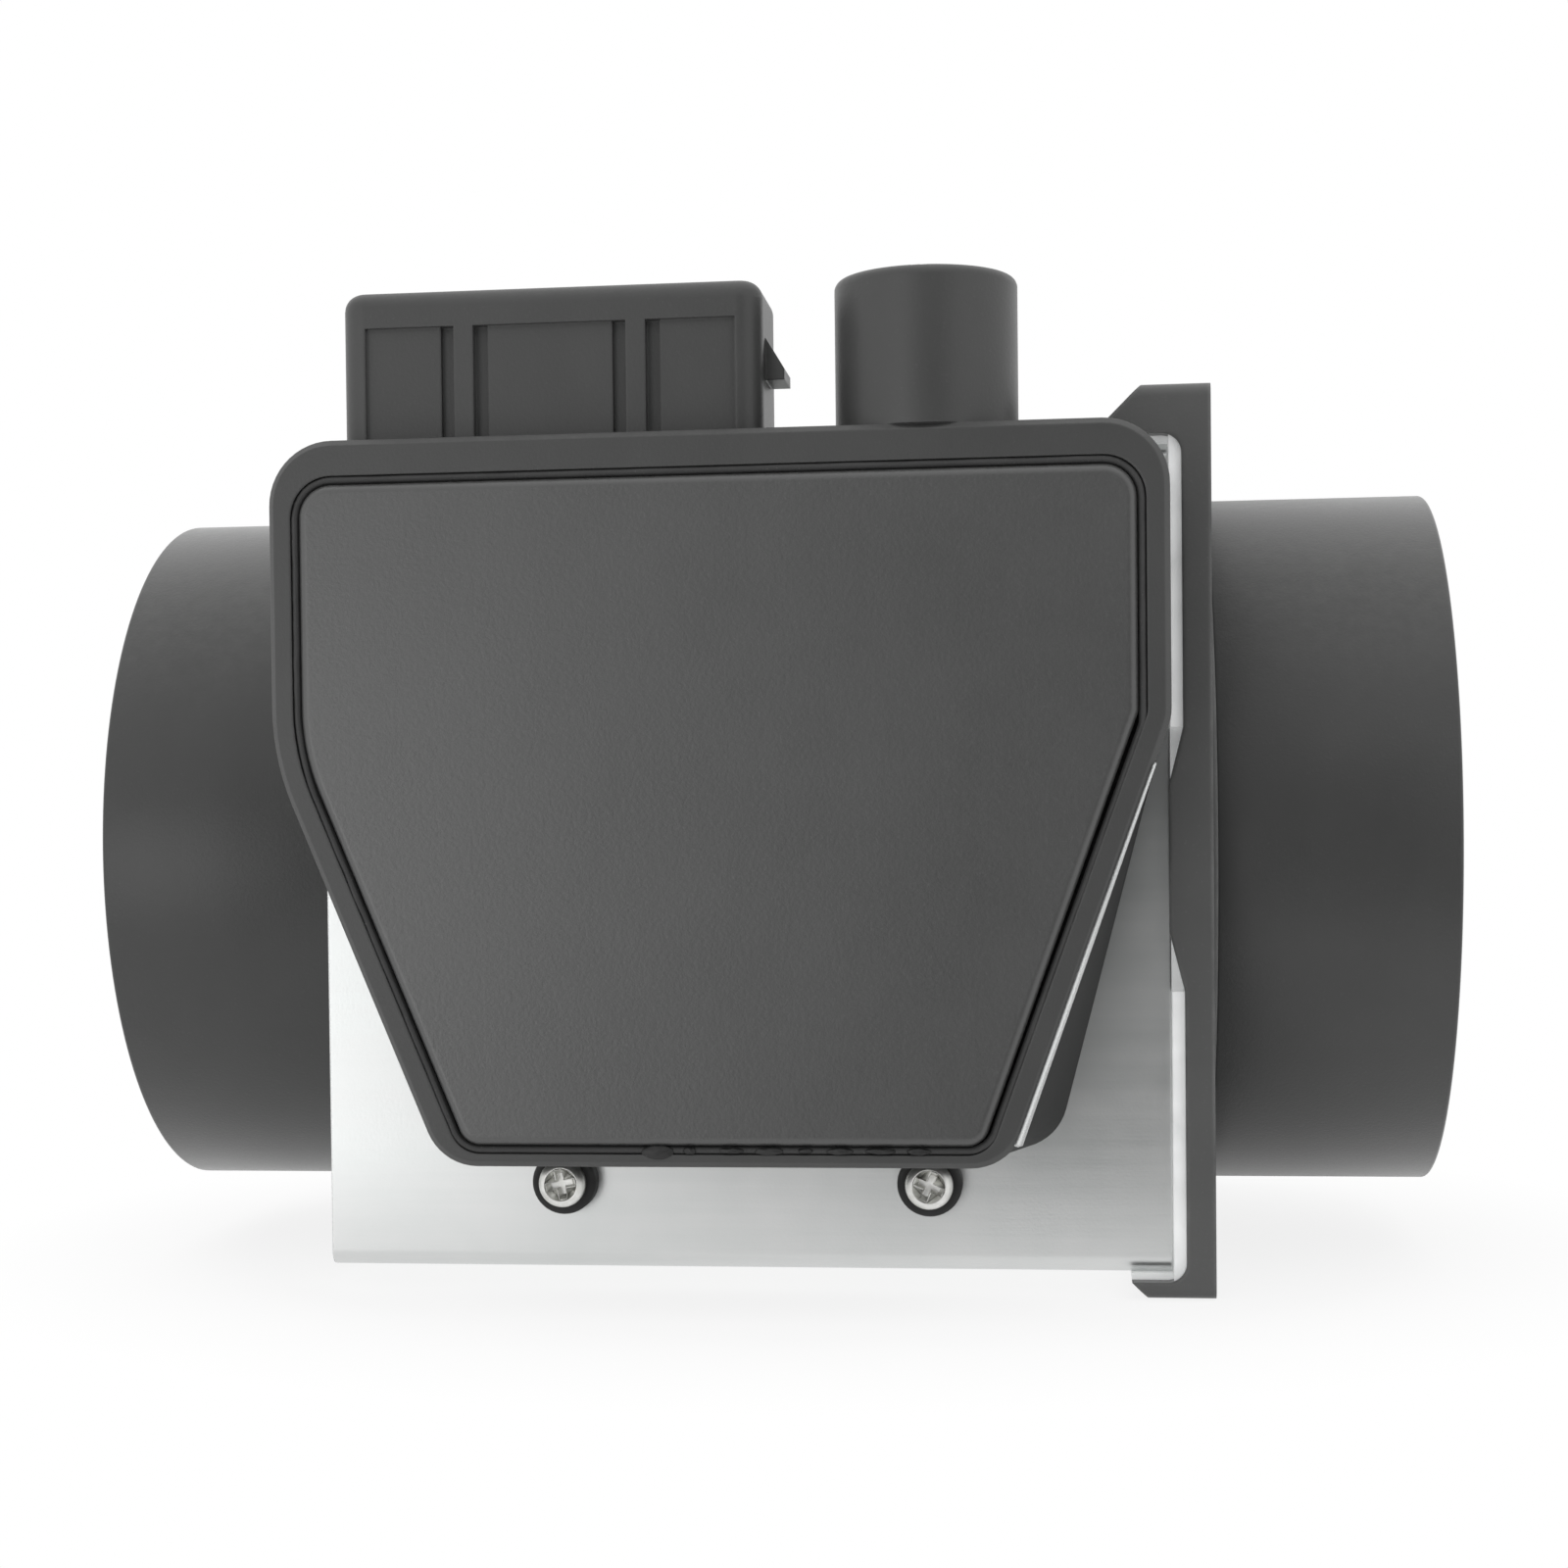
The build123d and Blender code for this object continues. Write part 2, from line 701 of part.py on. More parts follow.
# Reference resistor: a ceramic rod across the tube, with a metal cap at each end
with BuildPart() as reference_resistor:
    with BuildSketch(Plane.XY.offset(-tube_bore - rod_seat)):
        with Locations((resistor_x, 0)):
            Circle(resistor_radius)
    extrude(amount=2 * (tube_bore + rod_seat))
reference_resistor.part.label = "reference_resistor"
export_step(reference_resistor.part, "parts/reference_resistor.step")

# Neck seal: a flat ring in the body's face, round the neck and under the tray
with BuildPart() as neck_seal:
    with BuildSketch(Plane.XZ.offset(body_half_depth - neck_seal_thickness)):
        with Locations((tube_centre_x, 0)):
            SlotOverall(slot_width + 2 * neck_seal_border, slot_height + 2 * neck_seal_border)
            SlotOverall(slot_width, slot_height, mode=Mode.SUBTRACT)
    extrude(amount=neck_seal_thickness)
neck_seal.part.label = "neck_seal"
export_step(neck_seal.part, "parts/neck_seal.step")


def box_corners(side, top, bottom, spread):
    """Corners of the box outline, moved in by side, top and bottom, its foot widened by spread."""
    high = box_top - top
    low = box_bottom + bottom
    left_slope = (box_foot_left - spread - box_left) / (box_left_shoulder - box_bottom)
    right_slope = (box_right - box_foot_right - spread) / (box_right_shoulder - box_bottom)
    left_stretch = hypot(1, left_slope)
    right_stretch = hypot(1, right_slope)
    return [
        (box_left + side, high),
        (box_right - side, high),
        (box_right - side, box_right_shoulder + side * (right_stretch - 1) / right_slope),
        (box_right - right_slope * (box_right_shoulder - low) - side * right_stretch, low),
        (box_left + left_slope * (box_left_shoulder - low) + side * left_stretch, low),
        (box_left + side, box_left_shoulder + side * (left_stretch - 1) / left_slope),
    ]


def box_outline(level, side=0.0, top=0.0, bottom=0.0, spread=0.0):
    """Face of the box outline, rounded at its corners, on the plane at this level."""
    radii = [box_corner, box_corner, right_shoulder_radius, foot_corner, foot_corner, left_shoulder_radius]
    with BuildSketch(Plane.XZ.offset(level)) as outline:
        with BuildLine():
            FilletPolyline(
                *box_corners(side, top, bottom, spread),
                radius=[max(radius - side, inner_corner) for radius in radii],
                close=True,
            )
        make_face()
    return outline.sketch


# Electronics tray: raked box with a rim, a connector shroud and a round well, all one moulding
panel_top = shroud_top - band_height
panel_spans = [
    (shroud_left + panel_margin, left_rib_x - rib_width / 2),
    (left_rib_x + rib_width / 2, right_rib_x - rib_width / 2),
    (right_rib_x + rib_width / 2, shroud_right - panel_margin),
]
panel_height = panel_top - box_top
groove_offset = (rib_width + rib_groove) / 2
grooves_at = [rib_x + side * groove_offset for rib_x in (left_rib_x, right_rib_x) for side in (-1, 1)]
wall_inset = rim_side + lid_ledge
with BuildPart() as electronics_tray:
    tray_foot = box_outline(body_half_depth, spread=box_foot_spread)
    tray_waist = box_outline(body_half_depth + box_rake_depth)
    loft([tray_foot.face(), tray_waist.face()])
    extrude(tray_waist, amount=box_depth - box_rake_depth)
    chamfer(electronics_tray.faces().sort_by(Axis.Y)[0].edges(), rim_chamfer)
    with BuildSketch(Plane.XZ.offset(body_half_depth)):
        with Locations(*lower_screws_at):
            Circle(lug_radius)
        for screw_x, screw_z in lower_screws_at:
            with Locations((screw_x, (screw_z + box_bottom + foot_corner) / 2)):
                Rectangle(lug_bridge, box_bottom + foot_corner - screw_z)
    extrude(amount=lug_thickness)
    lug_rims = electronics_tray.edges().filter_by(GeomType.CIRCLE).filter_by_position(
        Axis.Y, -body_half_depth - lug_thickness, -body_half_depth - lug_thickness
    )
    fillet(lug_rims, lug_edge)
    with BuildSketch(Plane.XY.offset(box_top - rim_top)):
        with Locations((shroud_centre_x, pin_y)):
            RectangleRounded(shroud_width, shroud_depth, shroud_corner)
    extrude(amount=shroud_top - box_top + rim_top)
    fillet(electronics_tray.faces().sort_by(Axis.Z)[-1].edges(), shroud_edge)
    with BuildSketch(Plane.XZ.offset(-shroud_front_y - panel_depth)):
        for panel_left, panel_right in panel_spans:
            with Locations(((panel_left + panel_right) / 2, box_top + panel_height / 2)):
                Rectangle(panel_right - panel_left, panel_height)
    extrude(amount=panel_depth, mode=Mode.SUBTRACT)
    with BuildSketch(Plane.XZ.offset(-shroud_front_y - rib_groove_depth)):
        with Locations(*[(x, box_top + panel_height / 2) for x in grooves_at]):
            Rectangle(rib_groove, panel_height)
    extrude(amount=rib_groove_depth, mode=Mode.SUBTRACT)
    with BuildSketch(Plane.XZ.offset(-pin_y - nose_width / 2)):
        with BuildLine():
            Polyline(
                (shroud_right - shroud_edge, nose_top),
                (shroud_right, nose_top),
                (shroud_right + nose_reach, nose_low),
                (shroud_right + nose_reach, nose_foot),
                (shroud_right - shroud_edge, nose_foot),
                close=True,
            )
        make_face()
        with Locations((shroud_left, nose_low)):
            Rectangle(2 * nub_reach, nub_height)
    extrude(amount=nose_width)
    with BuildSketch(Plane.XY.offset(box_top)):
        with Locations((well_x, well_y)):
            Circle(well_radius)
    extrude(amount=well_top - box_top)
    fillet(electronics_tray.faces().sort_by(Axis.Z)[-1].edges(), well_edge)
    extrude(box_outline(ledge_level, rim_side, rim_top, rim_bottom), amount=box_depth, mode=Mode.SUBTRACT)
    extrude(
        box_outline(floor_level, wall_inset, rim_top + lid_ledge, rim_bottom + lid_ledge),
        amount=ledge_level - floor_level,
        mode=Mode.SUBTRACT,
    )
    with BuildSketch(Plane.XY.offset(socket_floor)):
        with Locations((shroud_centre_x, pin_y)):
            RectangleRounded(shroud_width - 2 * shroud_wall, shroud_depth - 2 * shroud_wall, inner_corner)
        for key_x in (left_rib_x, right_rib_x):
            with Locations((key_x, shroud_front_y + shroud_wall + key_depth / 2)):
                Rectangle(key_width, key_depth, mode=Mode.SUBTRACT)
    extrude(amount=shroud_top - socket_floor, mode=Mode.SUBTRACT)
    with BuildSketch(Plane.XY.offset(box_top - rim_top - lid_ledge)):
        with Locations(*[(x, pin_y) for x in pins_at]):
            Rectangle(pin_width, pin_thickness)
    extrude(amount=socket_floor - box_top + rim_top + lid_ledge, mode=Mode.SUBTRACT)
    with BuildSketch(Plane.XY.offset(well_floor)):
        with Locations((well_x, well_y)):
            Circle(well_bore)
    extrude(amount=well_top - well_floor, mode=Mode.SUBTRACT)
    with BuildSketch(Plane.XY.offset(box_top - rim_top - lid_ledge)):
        with Locations((well_x, well_y)):
            Circle(well_hole)
    extrude(amount=well_floor - box_top + rim_top + lid_ledge, mode=Mode.SUBTRACT)
    with BuildSketch(Plane.XZ.offset(body_half_depth)):
        with Locations((tube_centre_x, 0)):
            SlotOverall(slot_width, slot_height)
        with Locations(*lower_screws_at, *upper_screws_at):
            Circle(tray_screw_hole)
    extrude(amount=box_floor, mode=Mode.SUBTRACT)
electronics_tray.part.label = "electronics_tray"
export_step(electronics_tray.part, "parts/electronics_tray.step")

# Lid: a cover let into the rim, with its front edge rounded and stiffening ribs behind
lid_side = rim_side + lid_groove
lid_top = rim_top + lid_groove
lid_bottom = rim_bottom + lid_groove
box_centre_x = (box_foot_left + box_foot_right) / 2
with BuildPart() as lid:
    extrude(box_outline(lid_back_level, lid_side, lid_top, lid_bottom), amount=lid_thickness)
    fillet(lid.faces().sort_by(Axis.Y)[0].edges(), lid_edge)
    with BuildSketch(Plane.XZ.offset(lid_back_level - lid_rib_height)):
        with Locations((box_centre_x, 0)):
            with GridLocations(lid_rib_pitch, 1, lid_rib_count, 1):
                Rectangle(lid_rib_width, lid_rib_length)
    extrude(amount=lid_rib_height)
lid.part.label = "lid"
export_step(lid.part, "parts/lid.step")

# Lid seal: a bead of sealing compound between the ledge and the lid
bead_out = lid_groove + bead_inset
bead_in = bead_out + bead_width
with BuildPart() as lid_seal:
    extrude(
        box_outline(ledge_level, rim_side + bead_out, rim_top + bead_out, rim_bottom + bead_out),
        amount=bead_height,
    )
    extrude(
        box_outline(ledge_level, rim_side + bead_in, rim_top + bead_in, rim_bottom + bead_in),
        amount=bead_height,
        mode=Mode.SUBTRACT,
    )
lid_seal.part.label = "lid_seal"
export_step(lid_seal.part, "parts/lid_seal.step")


def tray_screws(places, head_level):
    """Pan head screws with a cross recess, whose heads seat at this level."""
    with BuildPart() as screws:
        with BuildSketch(Plane.XZ.offset(head_level)):
            with Locations(*places):
                Circle(tray_screw_head)
        extrude(amount=tray_screw_head_height)
        fillet(screws.faces().group_by(Axis.Y)[0].edges(), tray_screw_rounding)
        with BuildSketch(Plane.XZ.offset(body_half_depth - tray_screw_length)):
            with Locations(*places):
                Circle(tray_screw_radius)
        extrude(amount=head_level - body_half_depth + tray_screw_length)
        with BuildSketch(Plane.XZ.offset(head_level + tray_screw_head_height - tray_recess_depth)):
            with Locations(*places):
                Rectangle(tray_recess_length, tray_recess_width)
                Rectangle(tray_recess_width, tray_recess_length)
        extrude(amount=tray_recess_depth, mode=Mode.SUBTRACT)
    return screws.part


# Tray screws: two below the lid in the lugs, and two inside the box on its floor
lower_tray_screws = tray_screws(lower_screws_at, body_half_depth + lug_thickness)
lower_tray_screws.label = "lower_tray_screws"
export_step(lower_tray_screws, "parts/lower_tray_screws.step")
upper_tray_screws = tray_screws(upper_screws_at, floor_level)
upper_tray_screws.label = "upper_tray_screws"
export_step(upper_tray_screws, "parts/upper_tray_screws.step")

# Connector gasket: a flat seal on the socket's floor, pierced by the pins
gasket_width = shroud_width - 2 * (shroud_wall + fit_gap)
gasket_depth = shroud_depth - 2 * (shroud_wall + fit_gap) - key_depth
with BuildPart() as connector_seal:
    with BuildSketch(Plane.XY.offset(socket_floor)):
        with Locations((shroud_centre_x, pin_y + key_depth / 2)):
            RectangleRounded(gasket_width, gasket_depth, inner_corner)
        with Locations(*[(x, pin_y) for x in pins_at]):
            Rectangle(pin_width + 2 * fine_gap, pin_thickness + 2 * fine_gap, mode=Mode.SUBTRACT)
    extrude(amount=gasket_thickness)
connector_seal.part.label = "connector_seal"
export_step(connector_seal.part, "parts/connector_seal.step")

# Connector pins: blades through the socket's floor, bent back on to the board
board_high = sink_high - board_border
pin_foot_z = board_high - pin_landing
with BuildPart() as connector_pins:
    with BuildSketch(*[Plane.YZ.offset(x - pin_width / 2) for x in pins_at]):
        with BuildLine():
            Polyline(
                (-board_level, pin_foot_z),
                (-board_level, pin_foot_z + pin_foot_height),
                (pin_y + pin_thickness / 2, pin_foot_z + pin_foot_height),
                (pin_y + pin_thickness / 2, pin_tip),
                (pin_y - pin_thickness / 2, pin_tip),
                (pin_y - pin_thickness / 2, pin_foot_z),
                close=True,
            )
        make_face()
    extrude(amount=pin_width)
connector_pins.part.label = "connector_pins"
export_step(connector_pins.part, "parts/connector_pins.step")

# Well plug: a dished plug that closes the round well
with BuildPart() as well_plug:
    with BuildSketch(Plane.XY.offset(well_floor)):
        with Locations((well_x, well_y)):
            Circle(well_bore - fine_gap)
    extrude(amount=plug_thickness)
    with BuildSketch(Plane.XY.offset(well_floor + plug_thickness - plug_dish)):
        with Locations((well_x, well_y)):
            Circle(well_bore - fine_gap - plug_dish_wall)
    extrude(amount=plug_dish, mode=Mode.SUBTRACT)
    fillet(well_plug.faces().sort_by(Axis.Z)[-1].edges(), plug_edge)
well_plug.part.label = "well_plug"
export_step(well_plug.part, "parts/well_plug.step")

# Heat sink plate: aluminium plate on the floor of the tray
with BuildPart() as heat_sink_plate:
    with BuildSketch(Plane.XZ.offset(floor_level)):
        with Locations(((sink_left + sink_right) / 2, (sink_low + sink_high) / 2)):
            Rectangle(sink_width, sink_height)
    extrude(amount=sink_thickness)
heat_sink_plate.part.label = "heat_sink_plate"
export_step(heat_sink_plate.part, "parts/heat_sink_plate.step")

# Circuit board: ceramic board on the plate
with BuildPart() as circuit_board:
    with BuildSketch(Plane.XZ.offset(sink_level)):
        with Locations(((sink_left + sink_right) / 2, (sink_low + sink_high) / 2)):
            Rectangle(sink_width - 2 * board_border, sink_height - 2 * board_border)
    extrude(amount=board_thickness)
circuit_board.part.label = "circuit_board"
export_step(circuit_board.part, "parts/circuit_board.step")

# Power transistor: a moulded block with its cooling tab above
with BuildPart() as power_transistor:
    with BuildSketch(Plane.XZ.offset(board_level)):
        with Locations((transistor_x, transistor_z)):
            Rectangle(transistor_size, transistor_size)
    extrude(amount=transistor_height)
    with BuildSketch(Plane.XZ.offset(board_level)):
        with Locations((transistor_x, transistor_z + (transistor_size + transistor_tab) / 2)):
            Rectangle(transistor_size, transistor_tab)
            Circle(transistor_tab / 4, mode=Mode.SUBTRACT)
    extrude(amount=transistor_tab_thickness)
power_transistor.part.label = "power_transistor"
export_step(power_transistor.part, "parts/power_transistor.step")

# Control chip: a flat block with a raked edge
with BuildPart() as control_chip:
    with BuildSketch(Plane.XZ.offset(board_level)):
        with Locations((chip_x, chip_z)):
            Rectangle(chip_width, chip_depth)
    extrude(amount=chip_height)
    chamfer(control_chip.faces().sort_by(Axis.Y)[0].edges(), chip_height / 4)
control_chip.part.label = "control_chip"
export_step(control_chip.part, "parts/control_chip.step")

# Capacitors: round cans in a row
with BuildPart() as circuit_capacitors:
    with BuildSketch(Plane.XZ.offset(board_level)):
        with Locations((capacitor_x, capacitor_z)):
            with GridLocations(capacitor_pitch, 1, capacitor_count, 1):
                Circle(capacitor_radius)
    extrude(amount=capacitor_height)
circuit_capacitors.part.label = "circuit_capacitors"
export_step(circuit_capacitors.part, "parts/circuit_capacitors.step")

# Trimmer: factory-set block below the well, with its slot on top
with BuildPart() as trimmer:
    with BuildSketch(Plane.XZ.offset(board_level)):
        with Locations((well_x, trimmer_z)):
            Rectangle(trimmer_size, trimmer_size)
    extrude(amount=trimmer_height)
    with BuildSketch(Plane.XY.offset(trimmer_z + trimmer_size / 2 - trimmer_slot)):
        with Locations((well_x, -board_level - trimmer_height / 2)):
            Rectangle(trimmer_size, trimmer_slot)
    extrude(amount=trimmer_slot, mode=Mode.SUBTRACT)
trimmer.part.label = "trimmer"
export_step(trimmer.part, "parts/trimmer.step")

# Sensor leads: flat strips from the neck, bent up on to the board
lead_top = sink_low + board_border + lead_overlap
with BuildPart() as sensor_leads:
    with BuildSketch(*[Plane.YZ.offset(x - lead_width / 2) for x in leads_at]):
        with BuildLine():
            Polyline(
                (lead_seat - floor_level, -lead_thickness / 2),
                (-board_level - lead_thickness, -lead_thickness / 2),
                (-board_level - lead_thickness, lead_top),
                (-board_level, lead_top),
                (-board_level, lead_thickness / 2),
                (lead_seat - floor_level, lead_thickness / 2),
                close=True,
            )
        make_face()
    extrude(amount=lead_width)
sensor_leads.part.label = "sensor_leads"
export_step(sensor_leads.part, "parts/sensor_leads.step")
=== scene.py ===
# %% [markdown]
# # A mass airflow sensor
#
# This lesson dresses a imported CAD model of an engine's mass airflow sensor: a square aluminium duct
# body with a black hose neck at each end, a filter flange with its pale seal, and a black electronics
# box on its side. The CAD solids come in as a fixed frame, in metres. They could be shown as they are,
# but hard edges and one flat colour look like plastic toys, so each surface gets a finish made of
# nodes, and the parts that the eye goes to first are modelled again with softer edges.

import math

import bmesh
import bpy
from mathutils import Matrix, Vector


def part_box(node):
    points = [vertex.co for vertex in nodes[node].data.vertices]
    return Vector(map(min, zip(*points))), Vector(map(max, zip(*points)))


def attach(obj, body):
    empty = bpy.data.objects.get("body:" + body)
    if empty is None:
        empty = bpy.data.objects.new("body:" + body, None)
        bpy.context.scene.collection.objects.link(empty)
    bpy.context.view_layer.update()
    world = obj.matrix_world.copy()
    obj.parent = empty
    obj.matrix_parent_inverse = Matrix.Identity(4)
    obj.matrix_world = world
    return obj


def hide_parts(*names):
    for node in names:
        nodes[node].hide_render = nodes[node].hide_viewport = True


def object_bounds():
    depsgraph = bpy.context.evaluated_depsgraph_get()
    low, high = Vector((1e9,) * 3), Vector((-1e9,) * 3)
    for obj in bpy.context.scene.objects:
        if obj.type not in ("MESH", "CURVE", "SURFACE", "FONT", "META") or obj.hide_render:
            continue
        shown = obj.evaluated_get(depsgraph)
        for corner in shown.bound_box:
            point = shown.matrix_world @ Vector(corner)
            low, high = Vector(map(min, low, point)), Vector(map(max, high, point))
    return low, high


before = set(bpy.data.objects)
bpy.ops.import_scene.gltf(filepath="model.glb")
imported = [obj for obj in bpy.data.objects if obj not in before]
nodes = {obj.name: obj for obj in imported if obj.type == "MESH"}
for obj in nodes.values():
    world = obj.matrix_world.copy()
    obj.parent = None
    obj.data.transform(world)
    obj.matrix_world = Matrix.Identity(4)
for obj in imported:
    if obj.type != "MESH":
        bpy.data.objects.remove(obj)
cad_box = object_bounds()
bpy.ops.object.select_all(action="DESELECT")
print("nodes:", len(nodes), "box:", [[round(v, 4) for v in corner] for corner in cad_box])

# %% [markdown]
# The camera stands where the photograph was taken from: a third of a metre in front of the duct's
# axis, level with it, and turned a little to the left. Its place was fitted to the corners of the
# object, and the small shift of the lens centres the picture the way the photograph was cropped. It
# could be aimed with a Track To constraint, but three plain angles are easier to read and to change.

# %% Camera
CAMERA_PLACE = (-0.04029, -0.33084, 0.00234)
YAW, PITCH, ROLL = 7.41488, 1.43532, -0.64787
SENSOR, LENS = 36, 62.617
SHIFT_X, SHIFT_Y = 0.04162, 0.06995
NEAREST = 0.01

yaw, pitch, roll = (math.radians(angle) for angle in (YAW, PITCH, ROLL))
level_ahead = Vector((-math.sin(yaw), math.cos(yaw), 0))
level_right = Vector((math.cos(yaw), math.sin(yaw), 0))
ahead = level_ahead * math.cos(pitch) - Vector((0, 0, 1)) * math.sin(pitch)
over = Vector((0, 0, 1)) * math.cos(pitch) + level_ahead * math.sin(pitch)
right = level_right * math.cos(roll) + over * math.sin(roll)
above = over * math.cos(roll) - level_right * math.sin(roll)
turn = Matrix((right, above, -ahead)).transposed().to_4x4()
bpy.ops.object.camera_add()
camera = bpy.context.object
camera.name = "camera"
camera.matrix_world = Matrix.Translation(CAMERA_PLACE) @ turn
camera.data.sensor_width = SENSOR
camera.data.lens = LENS
camera.data.shift_x = SHIFT_X
camera.data.shift_y = SHIFT_Y
camera.data.clip_start = NEAREST
bpy.context.scene.camera = camera
print("camera looks along", [round(v, 3) for v in ahead])

# %% [markdown]
# A shader is a chain of small nodes. Wiring them by hand hides the arithmetic, so two helpers let the
# rest of the lesson write it as Python. A Wire is a socket that can be added, subtracted and
# multiplied, and each sign it meets adds one Math node. A Finish holds the nodes of a material or of
# the world, and its one method adds any other node, with its settings first and its sockets after.

# %% Shader helpers
class Wire:
    """A node's output socket, used in sums."""

    def __init__(self, tree, socket):
        self.tree = tree
        self.socket = socket

    def maths(self, operation, *values):
        node = self.tree.nodes.new("ShaderNodeMath")
        node.operation = operation
        for port, value in zip(node.inputs, values):
            if isinstance(value, Wire):
                self.tree.links.new(value.socket, port)
            else:
                port.default_value = value
        return Wire(self.tree, node.outputs[0])

    def __add__(self, other):
        return self.maths("ADD", self, other)

    def __radd__(self, other):
        return self.maths("ADD", other, self)

    def __sub__(self, other):
        return self.maths("SUBTRACT", self, other)

    def __rsub__(self, other):
        return self.maths("SUBTRACT", other, self)

    def __mul__(self, other):
        return self.maths("MULTIPLY", self, other)

    def __rmul__(self, other):
        return self.maths("MULTIPLY", other, self)

    def __abs__(self):
        return self.maths("ABSOLUTE", self)

    def most(self, other):
        return self.maths("MAXIMUM", self, other)


class Finish:
    """The nodes of a material or of the world, and the one method that adds to them."""

    def __init__(self, owner):
        self.owner = owner
        self.owner.use_nodes = True
        self.tree = self.owner.node_tree
        self.tree.nodes.clear()
        self.place = self.node("ShaderNodeTexCoord", out="Object")

    def node(self, kind, settings=None, sockets=None, out=0):
        node = self.tree.nodes.new(kind)
        for name, value in (settings or {}).items():
            setattr(node, name, value)
        for name, value in (sockets or {}).items():
            if isinstance(value, Wire):
                self.tree.links.new(value.socket, node.inputs[name])
            else:
                node.inputs[name].default_value = value
        return Wire(self.tree, node.outputs[out]) if len(node.outputs) else None


def new_finish(name):
    """The empty nodes of a new material."""
    return Finish(bpy.data.materials.new(name))


print("helpers ready")

# %% [markdown]
# A few patterns come back in every finish, so each is a small function: a noise of a given grain size,
# a blend of two colours, a range stretched from 0 to 1, a bump, and the worn edge. The worn edge
# compares the true surface direction with the one that a Bevel node rounds off. They differ only near
# a sharp edge, which gives a thin mask where plastic is rubbed pale and metal is nicked bright. On the
# flange the same mask carries a painted highlight.

# %% Pattern helpers
MIX_AMOUNT, MIX_LOW, MIX_HIGH, MIX_COLOUR = 0, 6, 7, 2
EDGE_FROM, EDGE_TO = 0.004, 0.12


def noise(finish, grain, detail=2, stretch=(1, 1, 1)):
    """Noise whose features are about one grain wide, in metres, longer along a stretched axis."""
    stretched = {"Vector": finish.place, "Scale": [1 / part for part in stretch]}
    place = finish.node("ShaderNodeMapping", sockets=stretched, out="Vector")
    values = {"Vector": place, "Scale": 1 / grain, "Detail": detail, "Roughness": 0.6}
    return finish.node("ShaderNodeTexNoise", sockets=values, out="Fac")


def blend(finish, amount, low, high):
    """One colour where the amount is 0 and another where it is 1."""
    settings = {"data_type": "RGBA", "clamp_factor": True}
    sockets = {MIX_AMOUNT: amount, MIX_LOW: low, MIX_HIGH: high}
    return finish.node("ShaderNodeMix", settings, sockets, out=MIX_COLOUR)


def ramp(finish, amount, low, high):
    """The amount, stretched so that low becomes 0 and high becomes 1."""
    values = {"Value": amount, "From Min": low, "From Max": high}
    return finish.node("ShaderNodeMapRange", {"clamp": True}, values, out="Result")


def bump(finish, height, depth, normal):
    """A Normal that follows a height of this many metres."""
    values = {"Height": height, "Distance": depth, "Strength": 1.0, "Normal": normal}
    return finish.node("ShaderNodeBump", sockets=values, out="Normal")


def part_of(finish, vector, axis):
    """The X, Y or Z part of a vector."""
    return finish.node("ShaderNodeSeparateXYZ", sockets={0: vector}, out=axis)


def facing(finish):
    """The direction in which the true surface faces."""
    return finish.node("ShaderNodeNewGeometry", out="Normal")


def rounded(finish, radius):
    """A Normal that rounds sharp edges, and a mask of those edges."""
    soft = finish.node("ShaderNodeBevel", {"samples": 6}, {"Radius": radius}, out="Normal")
    both = {0: soft, 1: facing(finish)}
    match = finish.node("ShaderNodeVectorMath", {"operation": "DOT_PRODUCT"}, both, out="Value")
    return soft, ramp(finish, 1 - match, EDGE_FROM, EDGE_TO)


def tinted(colour, red, green, blue):
    """A colour with each of its parts multiplied."""
    return [colour[0] * red, colour[1] * green, colour[2] * blue, 1]


def surface(finish, **sockets):
    """Closes a finish with the Principled shader, its sockets named the Python way."""
    names = {key.replace("_", " ").title().replace("Ior", "IOR"): value for key, value in sockets.items()}
    shader = finish.node("ShaderNodeBsdfPrincipled", sockets=names, out="BSDF")
    finish.node("ShaderNodeOutputMaterial", sockets={"Surface": shader})
    return finish.owner


print("patterns ready")

# %% [markdown]
# The necks, flange, box and lid are moulded in black plastic filled with glass. Close up it has a fine
# grain, a slow mottling where it flowed, pale rubbed corners and a breath of dust on top. On the flange
# the pale corners are made wide and strong, and are a painted highlight along its edges. The walls of
# the box behind its rim are duller, and their colour is darkened as painted shade. One function makes
# the plastic in several greys and glosses, because the lid is smoother than the box around it and the
# flange is paler than both.

# %% Moulded plastic
RIM_BACK, RIM_BLEND = 0.0622, 0.0005
BOX_TOP, TOP_BLEND = 0.0412, 0.0007
DUST = [0.42, 0.42, 0.41, 1]
# Painted shade: the near-black colour laid on the box's walls behind its rim.
SHADED_WALL_COLOUR = [0.008, 0.008, 0.008, 1]
PORE, FLOW, MOTTLE = 0.00035, 0.006, 0.012
RUB, DUST_GRAIN = 0.004, 0.0015
PORE_DEPTH = 0.000022


def behind_rim(finish):
    """A mask of all that lies behind the box's rim and below its top, where the walls get painted shade."""
    depth, height = (part_of(finish, finish.place, axis) for axis in "YZ")
    behind = ramp(finish, depth, -RIM_BACK, RIM_BLEND - RIM_BACK)
    return behind * ramp(finish, height, BOX_TOP, BOX_TOP - TOP_BLEND)


